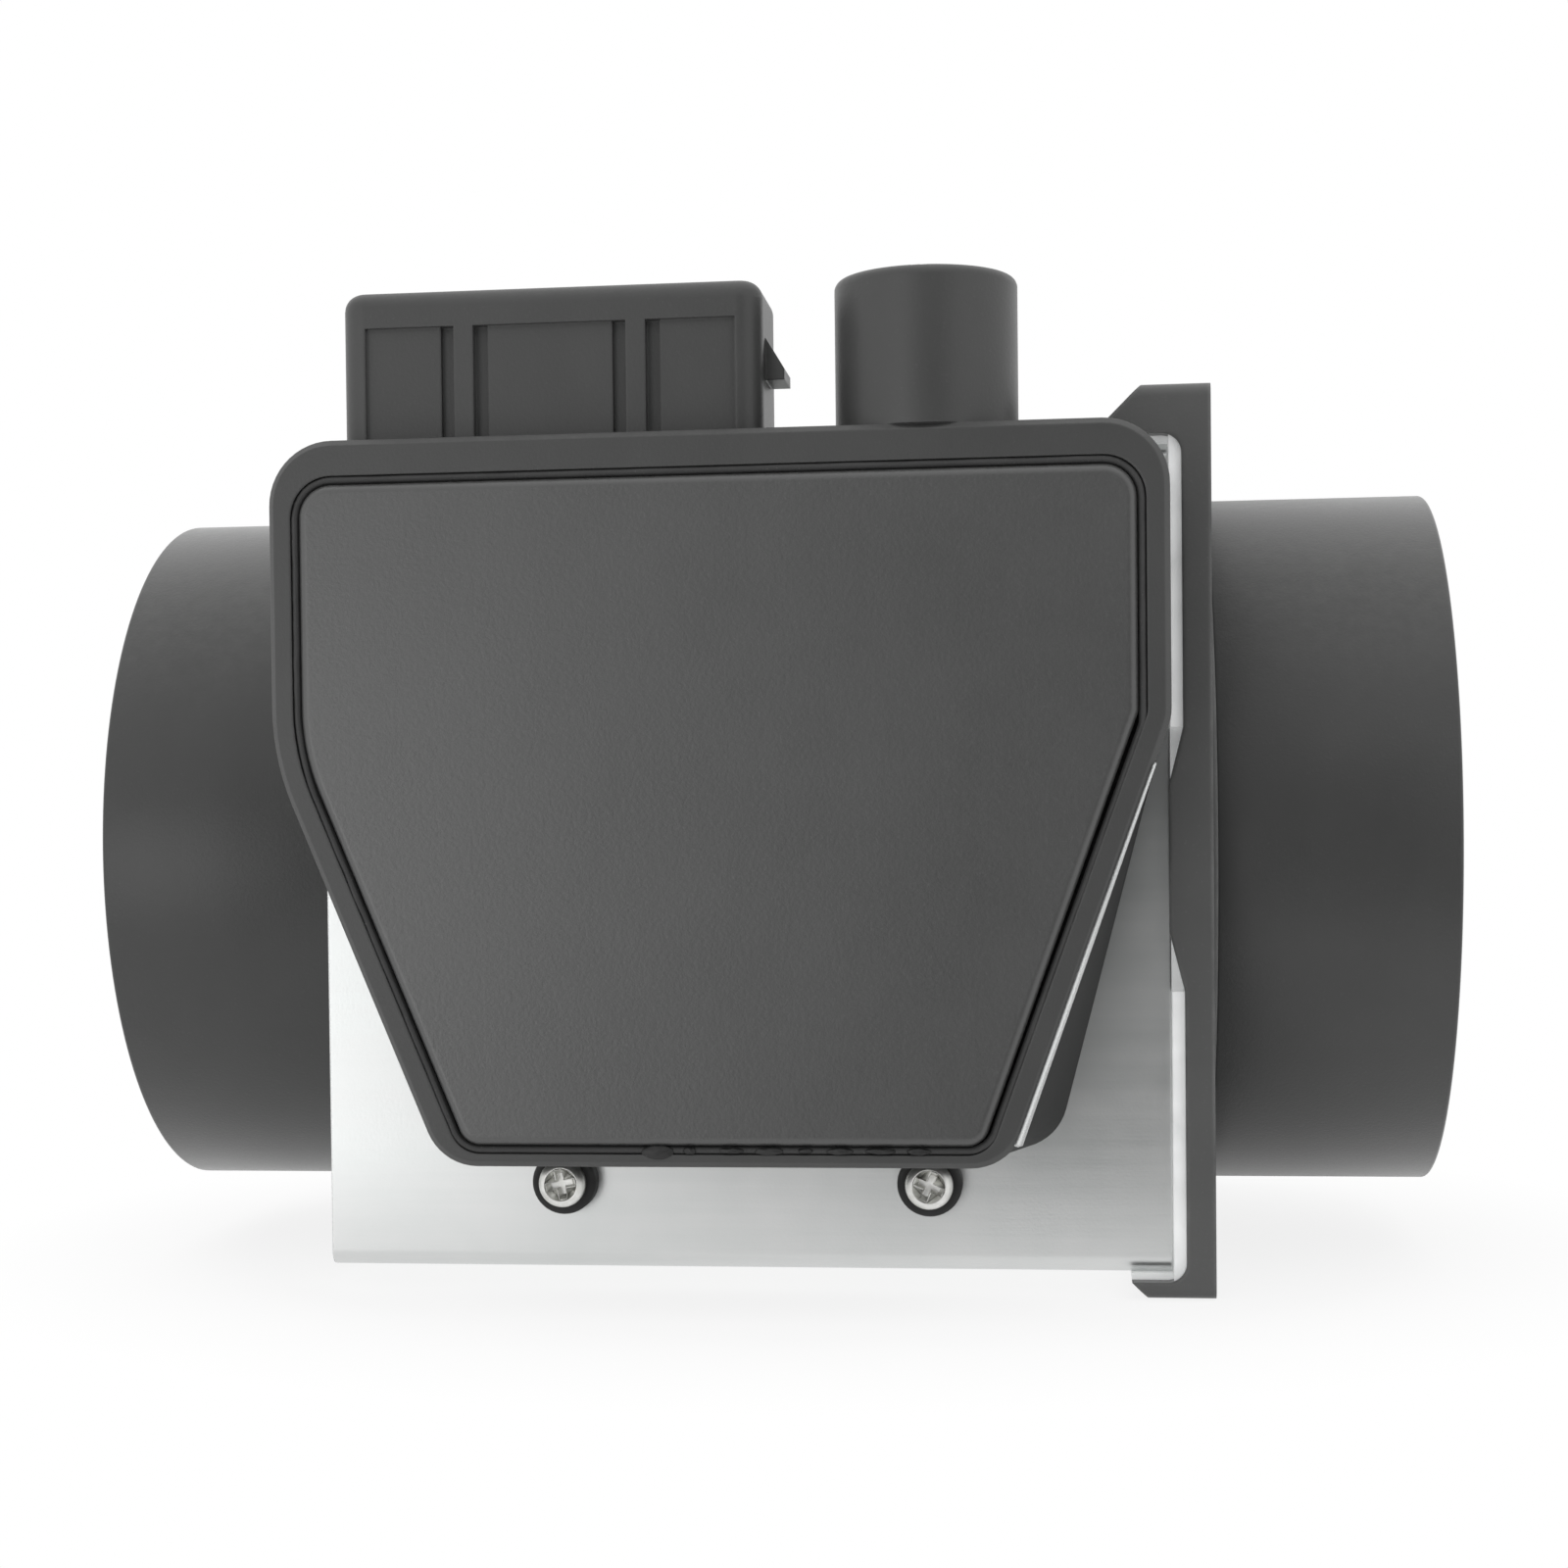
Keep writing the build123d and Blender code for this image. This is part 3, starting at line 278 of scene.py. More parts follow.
def moulded(name, grey, gloss, index=1.5, haze=0.0, wear_and_highlight=0.3, wall_dulling_and_shade=0.0, corner=0.0003):
    """Black or grey moulded plastic: grain, mottling, worn edges with painted highlight, dust, haze,
    painted wall shade.
    """
    finish = new_finish(name)
    soft, edge = rounded(finish, corner)
    mottle = noise(finish, MOTTLE, 4)
    pores = noise(finish, PORE, 3)
    flow = noise(finish, FLOW, 3, (1, 1, 6))
    up = part_of(finish, facing(finish), "Z")
    dark = tinted([grey] * 3, 0.92, 0.93, 0.92)
    pale = tinted([grey] * 3, 1.08, 1.09, 1.08)
    # Pale colour for specks and rubbed edges; along the flange's strong edges it is a painted highlight.
    pale_specks_wear_and_highlight = tinted([grey] * 3, 2.1, 2.12, 2.1)
    colour = blend(finish, ramp(finish, mottle * 0.7 + flow * 0.3, 0.3, 0.7), dark, pale)
    speckle = ramp(finish, pores, 0.62, 0.8)
    colour = blend(finish, speckle * 0.25, colour, pale_specks_wear_and_highlight)
    # Worn edges turn pale; where the amount is high, as on the flange, this is a painted highlight.
    worn_edge_and_highlight = edge * ramp(finish, noise(finish, RUB, 3), 0.25, 0.75)
    colour = blend(finish, worn_edge_and_highlight * wear_and_highlight, colour, pale_specks_wear_and_highlight)
    dust = ramp(finish, up, 0.35, 1.0) * ramp(finish, noise(finish, DUST_GRAIN, 4), 0.35, 0.8)
    colour = blend(finish, dust * 0.08, colour, DUST)
    # Painted shade: walls behind the rim that do not face up are darkened, and are also made rougher.
    dull_shaded_wall = behind_rim(finish) * ramp(finish, up, 0.5, 0.0) * wall_dulling_and_shade
    colour = blend(finish, dull_shaded_wall, colour, SHADED_WALL_COLOUR)
    rough = gloss + 0.06 * mottle + 0.1 * pores - 0.06 * worn_edge_and_highlight + 0.1 * dust + 0.5 * dull_shaded_wall
    shape = bump(finish, pores + 0.3 * flow, PORE_DEPTH, soft)
    values = {"base_color": colour, "roughness": rough, "normal": shape, "ior": index}
    return surface(finish, **values, sheen_weight=haze, sheen_roughness=0.4)


neck_plastic = moulded("neck_plastic", 0.052, 0.26, index=1.42, haze=0.45)
# The flange's wide, strong pale edges are a painted highlight.
flange_plastic = moulded("flange_plastic", 0.10, 0.30, index=1.45, haze=0.1, wear_and_highlight=1.0, corner=0.0007)
# The box's walls behind its rim take painted shade and are duller.
box_plastic = moulded("box_plastic", 0.057, 0.30, index=1.45, wear_and_highlight=0.15, wall_dulling_and_shade=0.7)
lid_plastic = moulded("lid_plastic", 0.054, 0.26, index=1.74, wear_and_highlight=0.5)
inner_plastic = moulded("inner_plastic", 0.040, 0.40)
plastics = (neck_plastic, flange_plastic, box_plastic, lid_plastic, inner_plastic)
print("plastics:", [plastic.name for plastic in plastics])

# %% [markdown]
# The duct body is cast in aluminium, and its faces are milled and blasted to a satin. The cutter
# leaves faint streaks along the duct, so the noise that drives its brightness and roughness is
# stretched thirty times along X. Handling leaves a few dull smears and bright nicks on the corners.

# %% Cast aluminium
STREAK, LINE, SMEAR, GRIT = 0.0016, 0.00022, 0.02, 0.0003
NICK_RADIUS, MILLING_DEPTH = 0.0004, 0.000012
BRIGHT_NICK = [0.92, 0.93, 0.93, 1]


def aluminium(name, grey, gloss, along=(30, 1, 1)):
    """Satin aluminium with streaks, smears and bright corners."""
    finish = new_finish(name)
    soft, edge = rounded(finish, NICK_RADIUS)
    streaks = noise(finish, STREAK, 4, along)
    lines = noise(finish, LINE, 2, along)
    smears = noise(finish, SMEAR, 3)
    grit = noise(finish, GRIT, 2)
    dull = tinted([grey] * 3, 0.86, 0.89, 0.88)
    clean = tinted([grey] * 3, 1.0, 1.005, 1.0)
    colour = blend(finish, ramp(finish, streaks * 0.3 + smears * 0.7, 0.3, 0.7), dull, clean)
    colour = blend(finish, edge * 0.6, colour, BRIGHT_NICK)
    rough = gloss + 0.06 * streaks + 0.1 * smears + 0.05 * grit - 0.12 * edge
    shape = bump(finish, lines * 0.3 + streaks * 0.2 + grit * 0.5, MILLING_DEPTH, soft)
    return surface(finish, base_color=colour, metallic=1.0, roughness=rough, normal=shape)


body_metal = aluminium("body_metal", 0.71, 0.22)
plate_metal = aluminium("plate_metal", 0.78, 0.26, along=(1, 1, 12))
foil_metal = aluminium("foil_metal", 0.66, 0.22, along=(8, 1, 1))
print("metals:", body_metal.name, plate_metal.name, foil_metal.name)

# %% [markdown]
# The seal is pale silicone, the rings are black rubber, and the box is stuck shut with a black
# compound. The circuit board and the two rods in the tube are ceramic, and the chips and the trimmer
# have dull cases. Each has a fine bloom and a few specks of lint, so one function makes them all, where
# a material drawn by hand for each would repeat the same nodes nine times. The seal also glows faintly:
# this is painted light, which lifts the seal where it lies in shade between the box and the flange.

# %% Rubber, silicone and ceramic
LINT = [0.5, 0.5, 0.48, 1]
SOFT_CORNER = 0.0002
BLOOM, BLOOM_DEPTH = 0.004, 0.00001


def rubbery(name, colour, gloss, grain=0.0002, painted_glow=0.0):
    """Soft material with a fine bloom and lint-sized specks, and a painted glow of light where one is
    given.
    """
    finish = new_finish(name)
    soft, edge = rounded(finish, SOFT_CORNER)
    bloom = noise(finish, BLOOM, 4)
    specks = noise(finish, grain, 2)
    low = tinted(colour, 0.86, 0.86, 0.86)
    high = [min(part, 1) for part in tinted(colour, 1.08, 1.08, 1.08)]
    tone = blend(finish, ramp(finish, bloom, 0.3, 0.7), low, high)
    tone = blend(finish, ramp(finish, specks, 0.68, 0.8) * 0.3, tone, LINT)
    rough = gloss + 0.15 * bloom - 0.08 * edge
    shape = bump(finish, specks, BLOOM_DEPTH, soft)
    values = {"base_color": tone, "roughness": rough, "normal": shape, "emission_color": tone}
    return surface(finish, **values, emission_strength=painted_glow)


# The silicone's faint glow is painted light on the seal.
silicone = rubbery("silicone", (0.91, 0.92, 0.92), 0.45, painted_glow=0.22)
black_rubber = rubbery("black_rubber", (0.03, 0.03, 0.03), 0.5)
compound = rubbery("compound", (0.042, 0.042, 0.042), 0.6)
fresh_compound = rubbery("fresh_compound", (0.012, 0.012, 0.012), 0.4)
gasket_rubber = rubbery("gasket_rubber", (0.2, 0.07, 0.04), 0.5)
ceramic = rubbery("ceramic", (0.8, 0.79, 0.74), 0.3, grain=0.0001)
rod_ceramic = rubbery("rod_ceramic", (0.7, 0.66, 0.56), 0.25, grain=0.0001)
chip_black = rubbery("chip_black", (0.03, 0.03, 0.03), 0.4)
trimmer_blue = rubbery("trimmer_blue", (0.06, 0.14, 0.3), 0.35)
print("soft finishes:", silicone.name, "to", trimmer_blue.name)

# %% [markdown]
# The screws are plated with zinc, the snap rings and the outlet screen are bright spring wire, the
# contacts are tinned and the hot wire is platinum. Such metal is stained in places, finely scratched,
# and rubbed bright on its edges. A plain grey metal would do from afar, but it looks new and lifeless.

# %% Plated metal
BRIGHT_EDGE = [0.9, 0.9, 0.88, 1]
PLATED_CORNER = 0.00015
STAIN, SCRATCH, SCRATCH_DEPTH = 0.0012, 0.00009, 0.000006


def plated(name, colour, gloss):
    """Plated or drawn metal with a stain, fine scratches and bright edges."""
    finish = new_finish(name)
    soft, edge = rounded(finish, PLATED_CORNER)
    stain = noise(finish, STAIN, 4)
    scratch = noise(finish, SCRATCH, 2, (1, 1, 9))
    dull = tinted(colour, 0.72, 0.72, 0.7)
    tone = blend(finish, ramp(finish, stain, 0.3, 0.7), dull, [*colour, 1])
    tone = blend(finish, edge * 0.5, tone, BRIGHT_EDGE)
    rough = gloss + 0.2 * stain + 0.1 * scratch - 0.1 * edge
    shape = bump(finish, scratch + stain, SCRATCH_DEPTH, soft)
    return surface(finish, base_color=tone, metallic=1.0, roughness=rough, normal=shape)


zinc = plated("zinc", (0.88, 0.88, 0.86), 0.24)
spring_wire = plated("spring_wire", (0.7, 0.7, 0.69), 0.2)
tinned = plated("tinned", (0.76, 0.72, 0.62), 0.26)
platinum = plated("platinum", (0.8, 0.79, 0.77), 0.2)
can_metal = plated("can_metal", (0.7, 0.7, 0.7), 0.3)
print("plated metals:", zinc.name, "to", can_metal.name)

# %% [markdown]
# Every CAD node now takes its finish. A finish goes into the slots that the node already has, so the
# mesh itself is never touched.

# %% Paint the CAD nodes
paint = {
    "metering_body": body_metal,
    "inlet_flange": flange_plastic,
    "inlet_spigot": neck_plastic,
    "outlet_spigot": neck_plastic,
    "flange_seal": silicone,
    "flange_screws": zinc,
    "inlet_seal_ring": black_rubber,
    "outlet_seal_ring": black_rubber,
    "flow_straightener": foil_metal,
    "inlet_snap_ring": spring_wire,
    "guard_ring": inner_plastic,
    "guard_wires": spring_wire,
    "outlet_snap_ring": spring_wire,
    "measuring_tube": inner_plastic,
    "wire_posts": spring_wire,
    "hot_wire": platinum,
    "air_temperature_sensor": ceramic,
    "reference_resistor": rod_ceramic,
    "neck_seal": black_rubber,
    "electronics_tray": box_plastic,
    "lid": lid_plastic,
    "lid_seal": compound,
    "lower_tray_screws": zinc,
    "upper_tray_screws": zinc,
    "connector_seal": gasket_rubber,
    "connector_pins": tinned,
    "well_plug": inner_plastic,
    "heat_sink_plate": plate_metal,
    "circuit_board": ceramic,
    "power_transistor": chip_black,
    "control_chip": chip_black,
    "circuit_capacitors": can_metal,
    "trimmer": trimmer_blue,
    "sensor_leads": tinned,
}
for name, material in paint.items():
    for slot in nodes[name].material_slots:
        slot.material = material
print("painted", len(paint), "of", len(nodes), "nodes")

# %% [markdown]
# Hose necks, screw heads and their like are turned shapes. A turned shape could be spun from half a
# section, but then its first and last seams have to be stitched. Here a circle is added instead, and
# extruded and scaled ring by ring, which is how one would do it by hand and leaves no seam at all.
# The rings are written in millimetres, like a workshop drawing: a distance along the axis and a radius.

# %% Turning helper
MM = 0.001
NEAR = 0.000005
SEAM = 0.000002
SHARP = math.radians(35)
FRONT = Vector((0, -1, 0))


def fresh():
    """Goes to object mode with nothing selected."""
    if bpy.context.object and bpy.context.object.mode != "OBJECT":
        bpy.ops.object.mode_set(mode="OBJECT")
    bpy.ops.object.select_all(action="DESELECT")


def start_editing(name):
    """Names the primitive just added, moves its place into its mesh and opens it, selected all over."""
    piece = bpy.context.object
    piece.name = name
    bpy.ops.object.transform_apply(location=True, rotation=True, scale=True)
    bpy.ops.object.mode_set(mode="EDIT")
    bpy.ops.mesh.select_all(action="SELECT")
    return piece


def turned(name, along, foot, rings, sides):
    """A shape turned about a line: each ring is a distance along it and a radius, in millimetres."""
    fresh()
    origin = Vector(foot) * MM
    step, radius = rings[0]
    place = origin + along * step * MM
    lean = along.to_track_quat("Z", "Y").to_euler()
    bpy.ops.mesh.primitive_circle_add(vertices=sides, radius=radius * MM, location=place, rotation=lean)
    piece = start_editing(name)
    for next_step, next_radius in rings[1:]:
        move = along * (next_step - step) * MM
        bpy.ops.mesh.extrude_region_move(TRANSFORM_OT_translate={"value": move})
        grow = [1 if abs(part) > 0.5 else next_radius / radius for part in along]
        bpy.ops.transform.resize(value=grow, center_override=origin + along * next_step * MM)
        step, radius = next_step, next_radius
    return piece


def close_up(piece, soft):
    """Merges the seams, turns the faces outwards and rounds the sharp edges by this many millimetres."""
    bpy.ops.mesh.select_all(action="SELECT")
    bpy.ops.mesh.remove_doubles(threshold=SEAM)
    bpy.ops.mesh.normals_make_consistent(inside=False)
    bpy.ops.object.mode_set(mode="OBJECT")
    if soft:
        bpy.ops.object.modifier_add(type="BEVEL")
        bevel = piece.modifiers[-1]
        bevel.width = soft * MM
        bevel.segments = 3
        bevel.limit_method = "ANGLE"
        bevel.angle_limit = SHARP
        bevel.harden_normals = False
        bpy.ops.object.modifier_apply(modifier=bevel.name)
    bpy.ops.object.shade_smooth_by_angle(angle=SHARP)


def dress(piece, material, slot, *stands_for):
    """Gives a piece its finish, fixes it to the body and lets it stand for its CAD nodes."""
    piece.data.materials.clear()
    piece.data.materials.append(material)
    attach(piece, "root")
    if stands_for:
        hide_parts(*stands_for)
    print(piece.name, len(piece.data.polygons), "faces")


print("turning helper ready")

# %% [markdown]
# Each hose neck is a moulded pipe with a lip rounded towards the air, a groove and a ledge that hold
# its screen, and a thinner tail inside the body. Both are the same drawing, so one function returns the
# rings and the two necks differ only in their lengths. The outer corner of the mouth is rounded by a
# third of a millimetre, where the CAD model has it sharp for its clamp fit.

# %% Hose necks
BORE, OUTSIDE, TAIL = 37.0, 40.0, 38.6
LIP, MOUTH_CORNER = 1.0, 0.35
LEDGE_LENGTH, LEDGE_DEPTH = 2, 1.4
GROOVE_LENGTH, GROOVE_DEPTH = 1.7, 0.85
NECK_SIDES = 160
NECK_SOFT = 0.12


def neck_rings(shoulder, tail_end, ledge, screen):
    """Rings of a hose neck, out from its bore, over its mouth, along to its tail and back inside."""
    quarter = [math.radians(angle) for angle in range(0, 91, 18)]
    rings = [(LIP * (1 - math.sin(angle)), BORE + LIP * (1 - math.cos(angle))) for angle in quarter]
    for angle in quarter:
        rings.append((MOUTH_CORNER * (1 - math.cos(angle)), OUTSIDE - MOUTH_CORNER * (1 - math.sin(angle))))
    rings += [(shoulder, OUTSIDE), (shoulder, TAIL), (tail_end, TAIL), (tail_end, BORE)]
    ledge_back, ledge_radius = ledge + LEDGE_LENGTH, BORE - LEDGE_DEPTH
    rings += [(ledge_back, BORE), (ledge_back, ledge_radius), (ledge, ledge_radius), (ledge, BORE)]
    groove_back, groove_radius = ledge - screen, BORE + GROOVE_DEPTH
    groove_front = groove_back - GROOVE_LENGTH
    rings += [(groove_back, BORE), (groove_back, groove_radius), (groove_front, groove_radius)]
    return rings + [(groove_front, BORE), rings[0]]


outlet_mouth = (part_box("outlet_spigot")[0][0] / MM, 0, 0)
outlet_rings = neck_rings(shoulder=27, tail_end=36, ledge=20, screen=2.6)
outlet_neck = turned("outlet_neck", Vector((1, 0, 0)), outlet_mouth, outlet_rings, NECK_SIDES)
close_up(outlet_neck, NECK_SOFT)
dress(outlet_neck, neck_plastic, "moulded_black", "outlet_spigot")
inlet_rings = neck_rings(shoulder=25.2, tail_end=39.3, ledge=22, screen=8)
inlet_neck = turned("inlet_neck", Vector((-1, 0, 0)), (0, 0, 0), inlet_rings, NECK_SIDES)
close_up(inlet_neck, NECK_SOFT)
dress(inlet_neck, neck_plastic, "moulded_black", "inlet_spigot")

# %% [markdown]
# Two pan head screws show below the box. Each head is a low dome with a cross pressed into it, and its
# shank is out of sight. The dome is turned. The cross starts as a circle of twelve points that are
# moved one by one to the corners of a cross, then bridged to the dome and pushed in with a slight taper,
# which costs far fewer faces than cutting the cross out with a boolean.

# %% Screw heads
HEAD_RINGS = [
    (0, 1.7), (0, 2.35), (0.12, 2.47), (0.75, 2.5),
    (1.1, 2.42), (1.4, 2.25), (1.62, 2.0), (1.76, 1.75),
]
HEAD_RADIUS = max(radius for step, radius in HEAD_RINGS)
HEAD_HEIGHT = HEAD_RINGS[-1][0]
HEAD_SEAT = 0.0018
HEAD_SIDES, HEAD_SOFT = 48, 0.07
CROSS_HALF_WIDTH, CROSS_REACH, CROSS_DEPTH = 0.42 * MM, 1.6 * MM, 1.1 * MM
CROSS_TAPER = 0.72
FACE_ON = (math.pi / 2, 0, 0)


def pick(test):
    """Selects the vertices, and the edges between them, that pass a test on their place."""
    bpy.ops.mesh.select_all(action="DESELECT")
    mesh = bmesh.from_edit_mesh(bpy.context.object.data)
    for vertex in mesh.verts:
        vertex.select = test(vertex.co)
    mesh.select_flush_mode()
    bmesh.update_edit_mesh(bpy.context.object.data)


def at(spot):
    """A test for the vertex at one place."""
    return lambda place: (place - spot).length < NEAR


def move_point(start, end):
    """Moves the vertex at one place to another."""
    pick(at(start))
    bpy.ops.transform.translate(value=end - start)


def around(centre):
    """A key that sorts places by their direction from a centre in the XZ plane."""
    return lambda place: math.atan2(place.z - centre.z, place.x - centre.x) % math.tau


def add_ring(centre, radius, count):
    """Adds a ring of points round a centre, facing the front, and returns their places in order."""
    bpy.ops.mesh.primitive_circle_add(vertices=count, radius=radius, location=centre, rotation=FACE_ON)
    mesh = bmesh.from_edit_mesh(bpy.context.object.data)
    places = [vertex.co.copy() for vertex in mesh.verts if vertex.select]
    return sorted(places, key=around(centre))


def press_cross(centre, lean):
    """Presses a cross into the open top of a turned head, turned by a lean in degrees."""
    starts = add_ring(centre, CROSS_REACH, 12)
    wide, far = CROSS_HALF_WIDTH, CROSS_REACH
    arm = [(far, wide), (wide, wide), (wide, far)]
    corners = []
    for angle in (0, 90, 180, 270):
        cos, sin = math.cos(math.radians(angle)), math.sin(math.radians(angle))
        corners += [centre + Vector((x * cos - z * sin, 0, x * sin + z * cos)) for x, z in arm]
    for start, corner in zip(starts, corners):
        move_point(start, corner)
    bpy.ops.mesh.select_non_manifold(extend=False)
    bpy.ops.mesh.bridge_edge_loops()
    outside = CROSS_REACH * 1.12
    pick(lambda place: (place - centre).length < outside and abs(place.y - centre.y) < NEAR)
    bpy.ops.transform.rotate(value=math.radians(lean), orient_axis="Y", center_override=centre)
    bpy.ops.mesh.extrude_region_move(TRANSFORM_OT_translate={"value": -FRONT * CROSS_DEPTH})
    bpy.ops.transform.resize(value=(CROSS_TAPER, 1, CROSS_TAPER), center_override=centre)
    bpy.ops.mesh.edge_face_add()


low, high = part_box("lower_tray_screws")
head_y = (low[1] + HEAD_SEAT) / MM
head_z = (low[2] + high[2]) / 2 / MM
screws = [(low[0] / MM + HEAD_RADIUS, 12), (high[0] / MM - HEAD_RADIUS, -24)]
for number, (head_x, lean) in enumerate(screws, 1):
    foot = (head_x, head_y, head_z)
    head = turned(f"screw_head_{number}", FRONT, foot, HEAD_RINGS, HEAD_SIDES)
    press_cross(Vector(foot) * MM + FRONT * HEAD_HEIGHT * MM, lean)
    bpy.ops.mesh.select_non_manifold(extend=False)
    bpy.ops.mesh.edge_face_add()
    close_up(head, HEAD_SOFT)
    dress(head, zinc, "screw_steel", "lower_tray_screws")

# %% [markdown]
# The lid is stuck down with a black compound that stands in the groove round it, and along the lower
# seam some of it was squeezed out and dried in lumps. The bead is a chain of loops: each is a circle of
# six points moved to the corners of the lid, with its corners rounded by a vertex bevel, and each is
# bridged to the one before. A cloud texture then displaces the bead a little, so that it looks laid by
# hand. A circle added in edit mode joins the piece being edited, so the bead starts from a plane whose
# own points are deleted.

# %% Sealing bead
LID_CORNERS = [(-117.4, 37.0), (-117.4, 9.9), (-101.3, -29.5), (-49.1, -29.5), (-33.9, 11.9), (-33.9, 37.0)]
LID_RADII = [3.3, 22.8, 2.3, 2.3, 1.8, 3.3]
LID_MIDDLE_X, LID_MIDDLE_Z = -75.6, 4
BEAD_LOOPS = [(-0.89, 62.6), (-0.72, 62.88), (-0.46, 62.94), (-0.22, 62.8), (-0.04, 62.4)]
FIRST_LEVEL, FIRST_RADIUS = 61.9, 0.03
LONG_EDGE, CUTS = 0.004, 30
LUMP_SIZE, LUMP_HEIGHT = 0.0022, 0.0003


def lid_corners(inset, level):
    """Each corner of the lid's outline, moved in by an inset, and how far back its rounding starts."""
    flat = [Vector(corner) for corner in LID_CORNERS]
    corners = []
    for index, corner in enumerate(flat):
        before = (corner - flat[index - 1]).normalized()
        after = (flat[(index + 1) % len(flat)] - corner).normalized()
        inward = [Vector((-way.y, way.x)) for way in (before, after)]
        shift = (inward[0] + inward[1]) * inset / (1 + inward[0].dot(inward[1]))
        setback = (LID_RADII[index] - inset) * math.tan(before.angle(after) / 2)
        corners.append((Vector((corner.x + shift.x, -level, corner.y + shift.y)) * MM, setback * MM))
    return corners


def add_lid_loop(inset, level):
    """Adds a loop of edges along the lid's outline, at a distance in front of the duct's axis."""
    centre = Vector((LID_MIDDLE_X, -level, LID_MIDDLE_Z)) * MM
    starts = add_ring(centre, FIRST_RADIUS, len(LID_CORNERS))
    turn_of = around(centre)
    corners = sorted(lid_corners(inset, level), key=lambda item: turn_of(item[0]))
    for start, (corner, setback) in zip(starts, corners):
        move_point(start, corner)
    for corner, setback in corners:
        pick(at(corner))
        bpy.ops.mesh.bevel(offset=setback, segments=8, profile=0.5, affect="VERTICES")


def at_level(level):
    """A test for a place on this level in front of the duct's axis."""
    return lambda place: abs(place.y + level * MM) < NEAR


fresh()
bead_start = Vector((LID_MIDDLE_X, -FIRST_LEVEL, LID_MIDDLE_Z)) * MM
bpy.ops.mesh.primitive_plane_add(size=MM, location=bead_start)
bead = start_editing("sealing_bead")
bpy.ops.mesh.delete(type="VERT")
for inset, level in BEAD_LOOPS:
    add_lid_loop(inset, level)
levels = [level for inset, level in BEAD_LOOPS]
for level, next_level in zip(levels, levels[1:]):
    pick(lambda place: at_level(level)(place) or at_level(next_level)(place))
    bpy.ops.mesh.bridge_edge_loops()
bpy.ops.mesh.select_all(action="DESELECT")
mesh = bmesh.from_edit_mesh(bead.data)
for edge in mesh.edges:
    edge.select = edge.calc_length() > LONG_EDGE
bmesh.update_edit_mesh(bead.data)
bpy.ops.mesh.subdivide(number_cuts=CUTS)
close_up(bead, 0)
lumps = bpy.data.textures.new("bead_lumps", "CLOUDS")
lumps.noise_scale = LUMP_SIZE
bpy.ops.object.modifier_add(type="DISPLACE")
swell = bead.modifiers[-1]
swell.texture = lumps
swell.strength = LUMP_HEIGHT
swell.direction = "Y"
bpy.ops.object.modifier_apply(modifier=swell.name)
dress(bead, compound, "sealing_compound")

# %% [markdown]
# The lumps along the lower seam are small, but without them the seam looks drawn with a ruler. Each
# starts as a sphere, is flattened on to the seam, jittered with its own seed and smoothed, so no two are
# alike. They could be sculpted, but a script can't hold a brush.

# %% Squeezed-out compound
SEAM_Y, SEAM_Z = -0.06285, -0.02985
SAG, JITTER = 0.0002, 0.00035
LUMP_SIZES = [
    (-81.6, 3.4, 1.5), (-78.4, 1.4, 0.8), (-74.2, 2.6, 0.7), (-70.4, 3.0, 0.9),
    (-66.8, 1.6, 0.6), (-63.4, 2.8, 0.8), (-59.4, 3.2, 0.7), (-55.6, 2.6, 0.8),
]


def squeezed_lump(seed, middle, length, height):
    """One lump on the seam, with its length and height in millimetres."""
    fresh()
    place = (middle * MM, SEAM_Y, SEAM_Z - height * SAG)
    bpy.ops.mesh.primitive_ico_sphere_add(subdivisions=4, radius=0.5 * MM, location=place)
    lump = start_editing("lump")
    bpy.ops.transform.resize(value=(length, 0.8, height), center_override=place)
    bpy.ops.transform.vertex_random(offset=JITTER, seed=seed)
    bpy.ops.mesh.vertices_smooth(factor=0.5, repeat=5)
    bpy.ops.object.mode_set(mode="OBJECT")
    bpy.ops.object.shade_smooth()
    return lump


parts = [squeezed_lump(seed, *sizes) for seed, sizes in enumerate(LUMP_SIZES)]
fresh()
for lump in parts:
    lump.select_set(True)
bpy.context.view_layer.objects.active = parts[0]
bpy.ops.object.join()
squeezed = bpy.context.object
squeezed.name = "squeezed_compound"
dress(squeezed, fresh_compound, "sealing_compound")

# %% [markdown]
# Down the right slant of the box runs a thin bright line, wider towards its foot: a painted highlight
# along the chamfer. A lamp could be placed to draw it as a gleam, but the gleam would wander when the
# view turns, so it is a strip of bright metal lying on the chamfer, standing for the highlight.

# %% Highlight strip
STRIP_TOP = Vector((-32.3, -62.72, 7.9)) * MM
STRIP_FOOT = Vector((-46.0, -62.72, -29.4)) * MM
STRIP, STRIP_LIFT = 0.12 * MM, 0.02 * MM
TOP_WIDTHS, FOOT_WIDTHS = 2.2, 5.5

slope = Vector((-0.345, 0, -0.939))
outward = Vector((0.664, -0.707, -0.244))
strip_place = (STRIP_TOP + STRIP_FOOT) / 2 + outward * STRIP_LIFT
strip_turn = Matrix((outward.cross(slope), slope, outward)).transposed().to_euler()
fresh()
